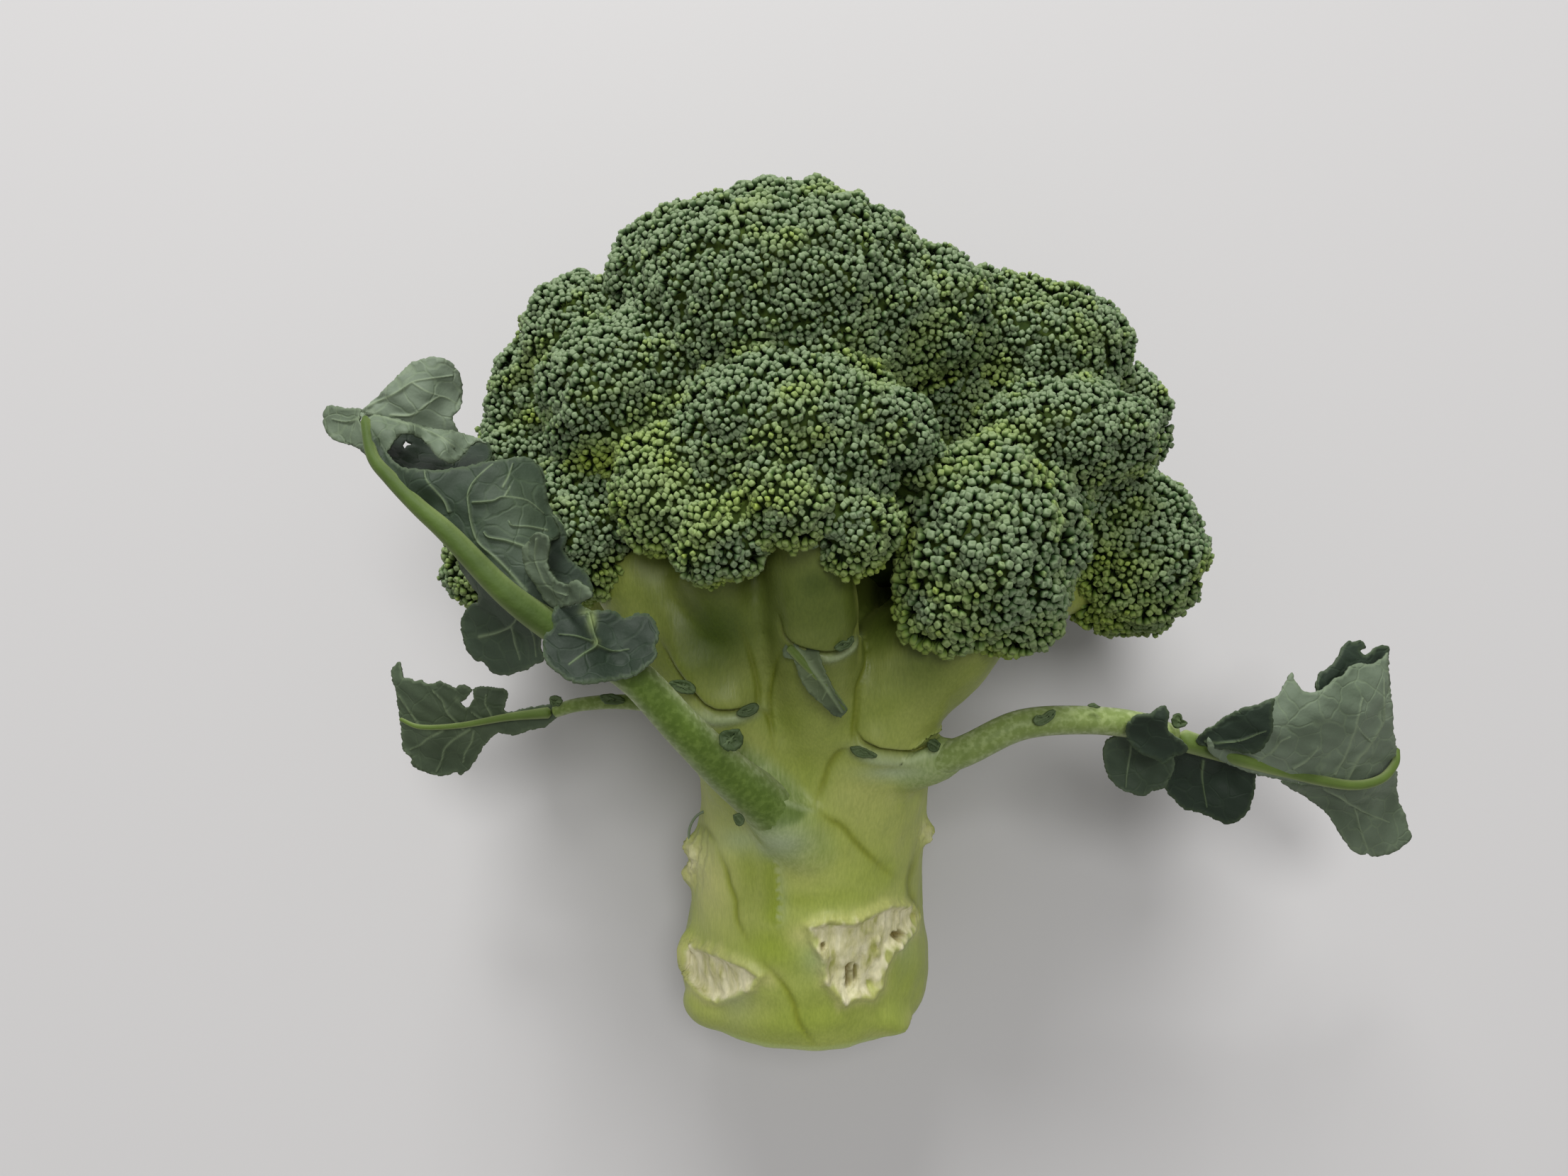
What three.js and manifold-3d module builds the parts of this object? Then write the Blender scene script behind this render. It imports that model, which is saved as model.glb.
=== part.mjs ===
// A broccoli head lying on its side: a cut stalk that forks into branches, the florets
// that they carry, and three leaves. Millimetres, +Z up. The butt of the stalk points to
// -Y and the crown to +Y. The origin is at the bottom centre of the whole head.
import * as THREE from 'three';
import { mergeVertices } from 'three/addons/utils/BufferGeometryUtils.js';
import Module from 'manifold-3d';

const wasm = await Module();
wasm.setup();

// ---------------------------------------------------------------- driving dimensions
const GAP = 0.3;                     // between neighbouring pieces
const HEAD_CENTRE = [21.3, 13.7, 0]; // middle of the head's box, taken as the origin

const STALK_RADIUS = 26;
const STALK_LENGTH = 76;             // from the butt to the fork
const STALK_TILT = 16;               // degrees, because the crown is wider than the stalk
const BUTT = [5, -64, 23.5];         // centre of the cut end
const TAPER = [                      // change of radius, at a distance from the cut end
  [-4, 0], [0, 4], [0.6, 12], [-0.4, 24], [-1.5, 42], [-1.8, 58]];
const SHOULDER = 6;                  // rounding of the stalk's end inside the fork

// Where leaves were cut off: degrees around the stalk, place along it, width and height.
const LEAF_SCARS = [[18, 24, 22, 20], [-38, 16, 18, 16]];
const SCAR_TOP = 1.06;               // of the stalk's radius

const KNOB_SPACING = 19.5;           // between the knobs that each floret is made of
const KNOB_RADIUS = 10.6;
const KNOB_RISE = 2.2;               // how far a knob stands out of the floret's outline
const CORE_SUNK = 3;                 // depth of the floret's core under its outline

const BLADE_THICKNESS = 0.9;
const TOOTH = 0.09;                  // depth of the teeth, as a share of the lobe's width
const BLADE_COLUMNS = 8;             // along a lobe of a leaf
const BLADE_ROWS = 2;                // from its root to its edge
const LIMB_SIDES = 10;
const MIDRIB_SIDES = 6;
const INSIDE_SHARE = 0.78;           // a knob this deep in a neighbour would not show
const BARE_CONE = 0.45;              // cosine: no knobs this near the inner side of a floret
const CROWN_MIDDLE = [5, 38, 48];
const SINGLE_KNOB = 10;              // a lobe with a smaller mean radius is one knob
const SLIVER = 0.08;                 // edges shorter than this are merged after a cut
const SEED = 20;

const STALK_GREEN = '#a9b46a';
const FLORET_GREEN = '#3f5a3c';
const PETIOLE_GREEN = '#8ea65c';
const BLADE_GREEN = '#4c5f4b';

// Each floret is a few rounded lobes: centre x, y, z, then half-sizes x, y, z.
const FLORETS = {
  crown_centre: [
    [0, 72.5, 66, 30.5, 24.3, 30], [-17, 79, 66, 17, 15.3, 16], [24, 71.5, 70, 16, 13, 16]],
  floret_back_left: [[-40.5, 69.5, 55, 12.8, 14.7, 15]],
  floret_upper_left: [[-30, 55, 73, 15.5, 15, 17]],
  floret_left: [[-52, 46, 48, 13, 13, 14], [-50, 61.5, 50, 10.5, 11, 12]],
  floret_front_left: [[-39, 30, 69, 12, 13, 14]],
  floret_front_centre: [
    [2, 45.5, 80, 22, 15.5, 21], [-21.5, 35, 84, 8.5, 11, 10], [-11.5, 27, 88, 8.5, 8.5, 9],
    [1, 32, 94, 8, 7, 8], [12.5, 28, 88, 7.5, 8, 8.5], [16, 45, 84, 11, 9, 12]],
  floret_back_right: [[51.5, 67.5, 58, 17.5, 14, 17], [40.5, 72.5, 58, 11, 12, 13]],
  floret_upper_right: [[52.5, 48.5, 66, 19, 10.5, 18]],
  floret_inner_right: [[32, 55, 60, 14, 13, 14]],
  floret_far_right: [[71, 57, 44, 9.5, 13.5, 13]],
  floret_front_right: [
    [36, 26, 77, 14.5, 16, 17], [29, 16, 77, 8.5, 8.5, 9], [42.5, 17, 74, 9.5, 9.5, 10.5],
    [48, 31, 70, 9.5, 12, 13], [28, 35, 75, 8.5, 10, 11], [39, 38, 78, 9, 8.5, 10]],
  floret_right: [[70.5, 29, 48, 15, 17, 18], [60, 36, 52, 10, 13, 13]],
  under_centre: [[2, 40, 20, 24, 20, 20.5]],
  under_left: [[-42, 40, 20, 18, 17, 20.5]],
  under_right: [[46, 40, 20, 18, 18, 20.5]],
  under_back_centre: [[0, 72, 28, 27, 21, 23]],
  under_back_left: [[-35, 66, 27, 18, 16, 18]],
  under_back_right: [[35, 66, 27, 18, 17, 18]],
  under_rim_left: [[-24, 21, 21, 13, 12, 14]],
  under_rim_centre: [[2, 17, 16, 12, 10, 12]],
  under_rim_right: [[28, 20, 19, 13, 12, 14]],
  under_far_right: [[64, 44, 26, 14, 14, 14]],
  under_far_left: [[-57, 54, 30, 10, 12, 12]],
  floret_low_left: [[-63, 27.5, 34, 10.5, 10.5, 13]],
};

// Branches run from the fork into the crown: x, y, z, radius at each station.
const BRANCHES = [
  [[2, -20, 44, 16], [-8, -4, 54, 14], [-18, 11, 62, 12], [-30, 28, 66, 10]],
  [[2, -12, 49, 13], [-4, 3, 58, 11], [-9, 14, 66, 9.5], [-14, 26, 78, 7]],
  [[6, -14, 50, 11], [6, 3, 65, 9], [5, 17, 76, 8.5], [4, 32, 84, 7]],
  [[10, -17, 45, 15], [19.5, 0.5, 56, 13], [30.5, 11.5, 62, 12], [38, 24, 68, 11]],
  [[5, -16, 40, 20], [3, 10, 44, 18], [2, 40, 56, 16]],
  [[0, -12, 38, 17], [-18, 14, 38, 12], [-40, 36, 34, 10]],
  [[10, -12, 38, 17], [26, 14, 40, 12], [50, 36, 40, 10]],
  [[5, -14, 32, 14], [3, 12, 28, 12], [2, 34, 24, 9]],
  [[-22, 16, 38, 9], [-42, 22, 36, 7], [-62, 27, 35, 6]],
  [[24, 10, 46, 11], [46, 19, 49, 8], [68, 27, 49, 7]],
];

const BRANCH_MASS = [8, 42, 48, 44, 24, 28];   // centre x, y, z, then half-sizes

// Leaf stalks and midribs: x, y, z, radius at each station.
const PETIOLE_LEFT = [[2, -27, 54, 4.2], [-2, -24, 60, 4.0], [-11, -14, 73, 3.6],
  [-18, -6, 82, 3.5], [-25, 2, 88, 3.4], [-31, 6.5, 90, 3.2]];
const MIDRIB_LEFT = [[-31.3, 6.7, 90, 3.1], [-39, 11, 91, 2.6], [-47, 17, 92, 1.9],
  [-57, 27, 91, 1.5], [-63, 32, 89, 1.3], [-69, 37.5, 86, 1.1], [-73, 42, 84, 1], [-76, 50, 80, 0.9]];
const PETIOLE_RIGHT = [[16, -12, 46, 4.4], [22, -13, 55, 4.2], [26, -13.7, 59, 3.4], [34, -11, 64, 3],
  [44.5, -6, 66, 2.9], [56, -5, 66, 2.7], [67, -6, 65, 2.6], [75, -8.5, 63, 2.3]];
const MIDRIB_RIGHT = [[75.3, -8.6, 62.9, 2.2], [86.5, -12, 61, 1.7], [98, -15.3, 59, 1.2],
  [110, -17.8, 57, 1], [117.3, -17, 55, 0.9], [121.5, -14, 53, 0.8], [123, -11, 51, 0.7]];
const PETIOLE_SMALL = [[-2, -4, 54, 2.4], [-6, -3.5, 55, 2.2], [-19, -3.2, 54, 1.8],
  [-31.5, -1.7, 52, 1.5], [-41, -2.2, 51, 1.4], [-46.7, -3.7, 50, 1.3]];
const MIDRIB_SMALL = [[-47, -3.8, 50, 1.2], [-56, -4.8, 49, 1], [-66, -6.5, 47, 0.8],
  [-74, -6.8, 46, 0.7], [-78.7, -5.2, 45, 0.6]];
const FORK_MIDRIB = [[0.9, 8.4, 78.5, 0.9], [4, 5, 79.5, 0.8], [8, 1, 79, 0.7], [11.3, -3.1, 76, 0.5]];

// A lobe of a leaf spans two edges; bow lifts its middle out of their plane.
const LOBES_LEFT = [
  { root: [[-71, 40, 85], [-63, 32, 89], [-55, 25, 91], [-44, 14.5, 91]],
    edge: [[-66, 39, 89], [-57, 39, 90], [-47, 40, 88], [-38, 26, 84]], bow: 3 },
  { root: [[-76, 50, 80], [-71, 49, 81], [-66, 48, 81], [-58, 47, 78]],
    edge: [[-71, 46, 86], [-66, 45.5, 88], [-60, 43, 87], [-53, 43.5, 83]], bow: 2 },
  { root: [[-76.5, 49, 80], [-72, 49, 81], [-66, 48, 81], [-60, 47, 79]],
    edge: [[-74, 53, 80], [-68, 58.5, 82], [-62, 60, 82], [-59, 53, 78]], bow: 1.5 },
  { root: [[-76, 51, 80], [-76, 48, 81], [-75, 45, 83], [-73, 42, 84]],
    edge: [[-81, 52.5, 78], [-84.5, 50.5, 77], [-83, 46, 78], [-77, 42, 82]], bow: 1 },
  { root: [[-53, 23, 91], [-49, 19, 92], [-45, 15.5, 92], [-41, 12.5, 91]],
    edge: [[-47, 29, 95], [-41, 27, 97], [-37, 21, 97], [-36, 13, 95]], bow: -3 },
  { root: [[-57, 26.5, 90], [-51, 20.5, 90], [-46, 16, 90], [-40, 11.5, 90]],
    edge: [[-61, 18, 76], [-58, 8, 74], [-51, 3, 74], [-44, 5, 78]], bow: 3 },
  { root: [[-40, 12, 91], [-36, 10, 93], [-32, 7.5, 93], [-28, 5, 91]],
    edge: [[-40, 6, 96], [-36, 2, 98], [-29, 1, 98], [-23, 3, 96]], bow: 2 },
];
const LOBES_RIGHT = [
  { root: [[77, -9, 62], [88, -12.5, 61], [104, -16.5, 58], [122, -13, 52]],
    edge: [[81, -5, 64], [96, 3.5, 66], [110, 10, 64], [123, 10.5, 58]], bow: 4 },
  { root: [[98, -6, 67], [102, -3, 68], [106, 2, 68], [110, 6, 66]],
    edge: [[83, -6, 69], [89, 0, 71], [96, 4.5, 71], [101, 5.5, 69]], bow: 1.5 },
  { root: [[100, -15, 58], [108, -17, 57], [115, -17, 56], [122, -13, 52]],
    edge: [[111, -30, 46], [114, -34, 43], [121, -34, 42], [127, -31, 42]], bow: 3 },
  { root: [[66, -6.5, 64], [70, -7.5, 63], [75, -9, 62], [80, -10.5, 61]],
    edge: [[65, -12, 72], [70, -14.5, 72], [76, -13.5, 71], [81, -10, 68]], bow: 2 },
  { root: [[60, -6, 64], [63, -6.5, 64], [67, -7.5, 63], [70, -8.5, 62]],
    edge: [[53, -11, 60], [55, -17, 57], [61, -20, 56], [67, -17, 58]], bow: 1.5 },
  { root: [[72, -9, 61], [77, -10.5, 60], [82, -12, 60], [87, -13, 59]],
    edge: [[68, -20, 54], [75, -26, 52], [82, -26, 51], [88, -20, 54]], bow: 2 },
];
const LOBES_SMALL = [
  { root: [[-52, -4.5, 49], [-60, -5.5, 48], [-69, -6.5, 47], [-78.5, -5, 45]],
    edge: [[-56, 0.5, 50], [-62, 3, 51], [-72, 4, 50], [-81, 6, 47]], bow: -1.5 },
  { root: [[-52, -4.5, 49], [-60, -5.5, 48], [-69, -6.5, 47], [-78.5, -5, 45]],
    edge: [[-55, -10, 47], [-63, -15, 44], [-71, -18, 42], [-80, -13, 42]], bow: -2 },
];
const LOBES_FORK = [
  { root: [[0.9, 8.4, 78.5], [4, 5, 79.5], [8, 1, 79], [11.3, -3.1, 76]],
    edge: [[4.6, 9, 79], [7.1, 5.5, 80.5], [8.9, 0.5, 80], [11.7, -2.8, 76.5]], bow: 0.5 },
  { root: [[0.9, 8.4, 78.5], [4, 5, 79.5], [8, 1, 79], [11.3, -3.1, 76]],
    edge: [[1.1, 6.7, 78.5], [2.2, 4.6, 79], [5.6, -0.4, 78.5], [9.7, -4.5, 75.5]], bow: 0.5 },
];

// ---------------------------------------------------------------- solids
function solid(geometry) {
  const bare = geometry.index ? geometry.toNonIndexed() : geometry;
  bare.deleteAttribute('normal');
  bare.deleteAttribute('uv');
  const merged = mergeVertices(bare, 1e-4);
  const corners = merged.index.array;
  const faces = [];
  for (let i = 0; i < corners.length; i += 3) {
    const [a, b, c] = [corners[i], corners[i + 1], corners[i + 2]];
    if (a !== b && b !== c && c !== a) faces.push(a, b, c);
  }
  return new wasm.Manifold(new wasm.Mesh({
    numProp: 3,
    vertProperties: new Float32Array(merged.attributes.position.array),
    triVerts: new Uint32Array(faces),
  }));
}

function join(solids) {
  return solids.reduce((all, one) => all.add(one));
}

function largestBody(shape) {
  return shape.decompose().reduce((best, one) => (one.volume() > best.volume() ? one : best));
}

function seededRandom(seed) {
  let state = seed;
  return () => {
    state = (state * 1664525 + 1013904223) % 4294967296;
    return state / 4294967296;
  };
}

// ---------------------------------------------------------------- florets
// A lobe is a core with knobs spread evenly over it along a golden-angle spiral. It has
// none inside a neighbouring lobe, nor on the inner side, where its branch comes in.
function lobe([x, y, z, rx, ry, rz], others, random) {
  const meanRadius = Math.cbrt(rx * ry * rz);
  if (meanRadius < SINGLE_KNOB) return ellipsoid([x, y, z], [rx, ry, rz], 1);
  const parts = [ellipsoid([x, y, z], [rx, ry, rz].map((r) => r - CORE_SUNK), 1)];
  const count = Math.round(4 * Math.PI * meanRadius ** 2 / (0.87 * KNOB_SPACING ** 2));
  const goldenAngle = Math.PI * (3 - Math.sqrt(5));
  for (let i = 0; i < count; i += 1) {
    const height = 1 - 2 * (i + 0.5) / count;
    const ring = Math.sqrt(1 - height * height);
    const turn = goldenAngle * i + 0.5 * random();
    const size = Math.min(KNOB_RADIUS * (0.92 + 0.16 * random()), 0.8 * meanRadius);
    const sunk = size - KNOB_RISE;
    const centre = [x + (rx - sunk) * ring * Math.cos(turn),
      y + (ry - sunk) * ring * Math.sin(turn), z + (rz - sunk) * height];
    const spin = [Math.PI * random(), Math.PI * random()];
    const hidden = others.some((other) => isInside(centre, other));
    if (!hidden && !facesInward([x, y, z], centre)) parts.push(knob(centre, size, spin));
  }
  return join(parts);
}

function knob(centre, size, [tilt, turn]) {
  const geometry = new THREE.IcosahedronGeometry(size, 0);
  geometry.rotateX(tilt);
  geometry.rotateZ(turn);
  geometry.translate(...centre);
  return solid(geometry);
}

function facesInward(middle, point) {
  const outward = new THREE.Vector3(...point).sub(new THREE.Vector3(...middle)).normalize();
  const inward = new THREE.Vector3(...CROWN_MIDDLE).sub(new THREE.Vector3(...middle)).normalize();
  return outward.dot(inward) > BARE_CONE;
}

function isInside(point, [x, y, z, ...radii]) {
  const scaled = [x, y, z].map((middle, axis) => (point[axis] - middle) / radii[axis]);
  return Math.hypot(...scaled) < INSIDE_SHARE;
}

function ellipsoid(centre, radii, detail) {
  const geometry = new THREE.IcosahedronGeometry(1, detail);
  geometry.scale(...radii);
  geometry.translate(...centre);
  return solid(geometry);
}

// Neighbouring florets press flat against each other: each pair of their lobes is parted
// by a plane, set between the two centres in proportion to the lobes' sizes.
function trimAgainst(shape, own, other) {
  const start = new THREE.Vector3(...own.slice(0, 3));
  const across = new THREE.Vector3(...other.slice(0, 3)).sub(start);
  const distance = across.length();
  across.normalize();
  const reach = ([, , , rx, ry, rz]) => 1 / Math.hypot(across.x / rx, across.y / ry, across.z / rz);
  if (distance > reach(own) + reach(other) + 2 * KNOB_RADIUS) return shape;
  const share = distance * reach(own) / (reach(own) + reach(other));
  return shape.trimByPlane(across.clone().negate().toArray(), GAP / 2 - share - start.dot(across));
}

function floret(lobes, others, seed) {
  const random = seededRandom(seed);
  return join(lobes.map((own) => {
    const siblings = lobes.filter((one) => one !== own);
    const whole = lobe(own, [...siblings, ...others], random);
    return others.reduce((shape, other) => trimAgainst(shape, own, other), whole);
  }));
}

// ---------------------------------------------------------------- stalk
// A limb is a cylinder whose rings are moved to the stations of its path.
function limb(stations, grow = 0, sides = LIMB_SIDES) {
  const last = stations.length - 1;
  const path = stations.map(([x, y, z]) => new THREE.Vector3(x, y, z));
  const geometry = new THREE.CylinderGeometry(1, 1, 1, sides, last);
  const position = geometry.attributes.position;
  const upright = new THREE.Vector3(0, 1, 0);
  for (let i = 0; i < position.count; i += 1) {
    const station = Math.round((position.getY(i) + 0.5) * last);
    const before = path[Math.max(station - 1, 0)];
    const after = path[Math.min(station + 1, last)];
    const heading = after.clone().sub(before).normalize();
    const turn = new THREE.Quaternion().setFromUnitVectors(upright, heading);
    const radius = stations[station][3] + grow;
    const spoke = new THREE.Vector3(position.getX(i), 0, position.getZ(i));
    spoke.multiplyScalar(radius).applyQuaternion(turn).add(path[station]);
    position.setXYZ(i, spoke.x, spoke.y, spoke.z);
  }
  return solid(geometry);
}

function trunk(grow = 0) {
  const r = STALK_RADIUS + grow;
  const end = STALK_LENGTH + grow;
  const wall = TAPER.map(([change, along]) => [r + change, along || -grow]);
  const profile = [[0, -grow], ...wall, [r - SHOULDER, end - SHOULDER], [0, end]];
  const geometry = new THREE.LatheGeometry(profile.map(([x, y]) => new THREE.Vector2(x, y)), 24);
  geometry.rotateX(THREE.MathUtils.degToRad(STALK_TILT));
  geometry.translate(...BUTT);
  return solid(geometry);
}

// Where a leaf was cut off, a low pad stands on the stalk, angled around its side.
function leafScar([around, along, width, height]) {
  const outline = new THREE.Shape();
  outline.moveTo(-width / 2, height * 0.35);
  outline.quadraticCurveTo(0, height * 0.6, width / 2, height * 0.5);
  outline.quadraticCurveTo(width * 0.5, 0, width * 0.2, -height * 0.5);
  outline.lineTo(-width * 0.15, -height * 0.5);
  outline.quadraticCurveTo(-width * 0.3, 0, -width / 2, height * 0.35);
  const depth = STALK_RADIUS / 2;
  const pad = new THREE.ExtrudeGeometry(outline, { depth, bevelEnabled: false, curveSegments: 5 });
  pad.translate(0, along, STALK_RADIUS * SCAR_TOP - depth);
  pad.rotateY(THREE.MathUtils.degToRad(around));
  pad.rotateX(THREE.MathUtils.degToRad(STALK_TILT));
  pad.translate(...BUTT);
  return solid(pad);
}

// The mass of small branches in the middle of the crown, between all the florets.
function branchMass(grow = 0) {
  return ellipsoid(BRANCH_MASS.slice(0, 3), BRANCH_MASS.slice(3).map((r) => r + grow), 1);
}

function stalk() {
  const branches = BRANCHES.map((one) => limb(one));
  return join([trunk(), branchMass(), ...LEAF_SCARS.map(leafScar), ...branches]);
}

function grownStalk() {
  return join([trunk(GAP), branchMass(GAP), ...BRANCHES.map((one) => limb(one, GAP))]);
}

// ---------------------------------------------------------------- leaves
// A sheet has the same triangles on both faces, so its wall keeps one thickness.
function sheet({ root, edge, bow }) {
  const curve = (points) => new THREE.CatmullRomCurve3(points.map((p) => new THREE.Vector3(...p)));
  const inner = curve(root);
  const outer = curve(edge);
  const plan = new THREE.PlaneGeometry(1, 1, BLADE_COLUMNS, BLADE_ROWS);
  const place = (u, v) => {
    const from = inner.getPoint(u);
    const to = outer.getPoint(u);
    const span = to.clone().sub(from);
    const lift = inner.getTangent(u).cross(span).normalize();
    return from.addScaledVector(span, v).addScaledVector(lift, bow * 4 * v * (1 - v));
  };
  const faceOf = (side) => {
    const points = [];
    for (let row = 0; row <= BLADE_ROWS; row += 1) {
      for (let column = 0; column <= BLADE_COLUMNS; column += 1) {
        const u = column / BLADE_COLUMNS;
        const v = row / BLADE_ROWS;
        const toothed = row === BLADE_ROWS && column % 2 === 1 ? 1 - TOOTH : v;
        const step = 0.02;
        const du = place(Math.min(u + step, 1), v).sub(place(Math.max(u - step, 0), v));
        const dv = place(u, Math.min(v + step, 1)).sub(place(u, Math.max(v - step, 0)));
        const normal = du.cross(dv).normalize();
        points.push(place(u, toothed).addScaledVector(normal, side * BLADE_THICKNESS / 2));
      }
    }
    return points;
  };
  return slab(faceOf(1), faceOf(-1), plan.index.array);
}

function slab(front, back, faceIndex) {
  const [columns, rows] = [BLADE_COLUMNS, BLADE_ROWS];
  const count = front.length;
  const faces = [];
  for (let i = 0; i < faceIndex.length; i += 3) {
    const [a, b, c] = [faceIndex[i], faceIndex[i + 1], faceIndex[i + 2]];
    faces.push(a, c, b, count + a, count + b, count + c);
  }
  const border = [];
  for (let column = 0; column < columns; column += 1) border.push(column);
  for (let row = 0; row < rows; row += 1) border.push(row * (columns + 1) + columns);
  for (let column = columns; column > 0; column -= 1) border.push(rows * (columns + 1) + column);
  for (let row = rows; row > 0; row -= 1) border.push(row * (columns + 1));
  border.forEach((a, i) => {
    const b = border[(i + 1) % border.length];
    faces.push(a, count + a, b, b, count + a, count + b);
  });
  const geometry = new THREE.BufferGeometry();
  geometry.setFromPoints([...front, ...back]);
  geometry.setIndex(faces);
  return solid(geometry);
}

function blade(midrib, lobes) {
  return join([limb(midrib, 0, MIDRIB_SIDES), ...lobes.map(sheet)]);
}

// ---------------------------------------------------------------- assembly
function belowTable() {
  const block = new THREE.BoxGeometry(500, 500, 100);
  block.translate(0, 0, -50);
  return solid(block);
}

function toMesh(name, shape, colour, roughness) {
  const { vertProperties, triVerts, numProp } = shape.getMesh();
  const positions = new Float32Array(vertProperties.length / numProp * 3);
  for (let i = 0; i < positions.length / 3; i += 1) {
    positions.set(vertProperties.subarray(i * numProp, i * numProp + 3), i * 3);
  }
  const geometry = new THREE.BufferGeometry();
  geometry.setAttribute('position', new THREE.BufferAttribute(positions, 3));
  geometry.setIndex(new THREE.BufferAttribute(new Uint32Array(triVerts), 1));
  geometry.computeVertexNormals();
  const material = new THREE.MeshStandardMaterial({ color: colour, roughness, metalness: 0 });
  const mesh = new THREE.Mesh(geometry, material);
  mesh.name = name;
  return mesh;
}

function build() {
  const table = belowTable();
  const head = new THREE.Group();
  const names = Object.keys(FLORETS);
  const allStalk = grownStalk();
  const keep = (name, shape, colour, roughness) => {
    const body = largestBody(shape.subtract(table).simplify(SLIVER));
    head.add(toMesh(name, body, colour, roughness));
  };

  keep('stalk', stalk(), STALK_GREEN, 0.5);

  const florets = names.map((name, i) => {
    const others = names.filter((other) => other !== name).flatMap((other) => FLORETS[other]);
    return floret(FLORETS[name], others, SEED + i).subtract(allStalk);
  });
  florets.forEach((shape, i) => keep(names[i], shape, FLORET_GREEN, 0.75));

  const leaves = [
    ['left', PETIOLE_LEFT, MIDRIB_LEFT, LOBES_LEFT],
    ['right', PETIOLE_RIGHT, MIDRIB_RIGHT, LOBES_RIGHT],
    ['small', PETIOLE_SMALL, MIDRIB_SMALL, LOBES_SMALL],
  ];
  leaves.forEach(([side, petiole, midrib, lobes]) => {
    keep(`petiole_${side}`, limb(petiole).subtract(allStalk), PETIOLE_GREEN, 0.45);
    const leaf = blade(midrib, lobes).subtract(limb(petiole, GAP));
    keep(`blade_${side}`, leaf.subtract(allStalk), BLADE_GREEN, 0.6);
  });
  keep('leaflet_fork', blade(FORK_MIDRIB, LOBES_FORK).subtract(allStalk), BLADE_GREEN, 0.6);

  head.position.set(...HEAD_CENTRE).negate();
  return head;
}

export default build();
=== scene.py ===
"""A broccoli head lying on its side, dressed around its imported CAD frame.

Sizes and places are in millimetres, as in the CAD source: +Y runs from the cut end to the crown,
+Z is up, and x = y = 0 is the place on the table under the camera. Outlines and marks that were
drawn over the photograph are in its pixels. Meshes are in metres from the frame's origin.
"""
import math

import bpy
import numpy as np
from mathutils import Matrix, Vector
from mathutils.geometry import delaunay_2d_cdt
from mathutils.kdtree import KDTree

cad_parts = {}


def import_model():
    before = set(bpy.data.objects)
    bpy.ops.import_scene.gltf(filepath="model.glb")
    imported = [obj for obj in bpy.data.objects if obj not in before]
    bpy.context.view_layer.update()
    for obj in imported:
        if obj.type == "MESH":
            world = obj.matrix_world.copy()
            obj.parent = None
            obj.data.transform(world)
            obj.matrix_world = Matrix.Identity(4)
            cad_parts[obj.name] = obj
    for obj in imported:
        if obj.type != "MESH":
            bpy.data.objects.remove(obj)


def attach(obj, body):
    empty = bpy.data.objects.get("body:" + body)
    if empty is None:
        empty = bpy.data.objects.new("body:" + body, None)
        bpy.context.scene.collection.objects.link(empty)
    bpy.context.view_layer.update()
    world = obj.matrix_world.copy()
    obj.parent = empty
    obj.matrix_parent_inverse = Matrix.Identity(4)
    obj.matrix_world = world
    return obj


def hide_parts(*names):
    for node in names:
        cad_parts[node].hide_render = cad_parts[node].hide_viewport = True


MM = 0.001
BODY = "root"
HEAD_CENTRE = np.array([21.3, 13.7, 0.0])       # the frame's origin, in those millimetres
SEED = 20
TABLE_GAP = 0.02                     # nothing comes nearer to the table

# ------------------------------------------------------------------ camera
CAMERA_HEIGHT = 295
CAMERA_TILT = 5                      # degrees, from straight down towards the crown
CAMERA_LENS = 27.67                  # mm, on a sensor SENSOR mm wide
SENSOR = 36
PHOTO_FOCAL = 1700                   # in pixels of the 2212 x 1659 photograph
PHOTO_MIDDLE = (1106, 829.5)

# ------------------------------------------------------------------ florets
BUD_PITCH = 1.14                     # between the buds on most florets
COARSE_PITCH = 1.75                  # on the underside, where the head lies
CLUSTER_PITCH = 4.0                  # between the small clusters that the buds grow in
CLUSTER_RISE = 1.3                   # height of the cluster's middle over its edge
KNOB_PITCH = 10.5                    # between the larger rounded knobs
KNOB_RISE = 1.7
BUD_SINK = 1.7                       # the buds' roots lie this far under the floret's outline
FLESH_SINK = 2.9                     # the same for the flesh between them
MELT = 3.5                           # within this distance two lobes swell towards each other
CROWN_VOXEL = 1.4                    # the grid on which the flesh is made one skin
PACKING = 0.79                       # closest distance of two buds, as a share of their pitch
MOUND_PACKING = 0.8                  # the same for the middles of clusters and knobs
BUD_TRIES = 280000                   # random places tried for buds
CLUSTER_TRIES = 60000
KNOB_TRIES = 20000
BUD_SIZE = 0.69                      # half a bud's width, as a share of the pitch
BUD_LEAN = 1.5                       # how far buds lean away from their cluster's middle
LEAN_SCATTER = 0.16                  # what chance adds to a bud's lean
HEIGHT_SCATTER = 0.13                # to its height
SIZE_SCATTER = 0.06                  # and to its size, as a share of the pitch
YOUNG_SHRINK = 0.28                  # young buds are smaller by this share
RIM_STRETCH = 0.55                   # buds on a floret's low rim are longer by this share
YOUNG_REACH = 1.35                   # how far the young yellow buds reach from that middle
YOUNG_CLUSTERS = 0.3                 # share of the clusters that have them
SMALL_LOBE = 10                      # lobes of a smaller mean radius are yellower
FORK = np.array([5, -10, 50])        # where the branches part

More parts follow.
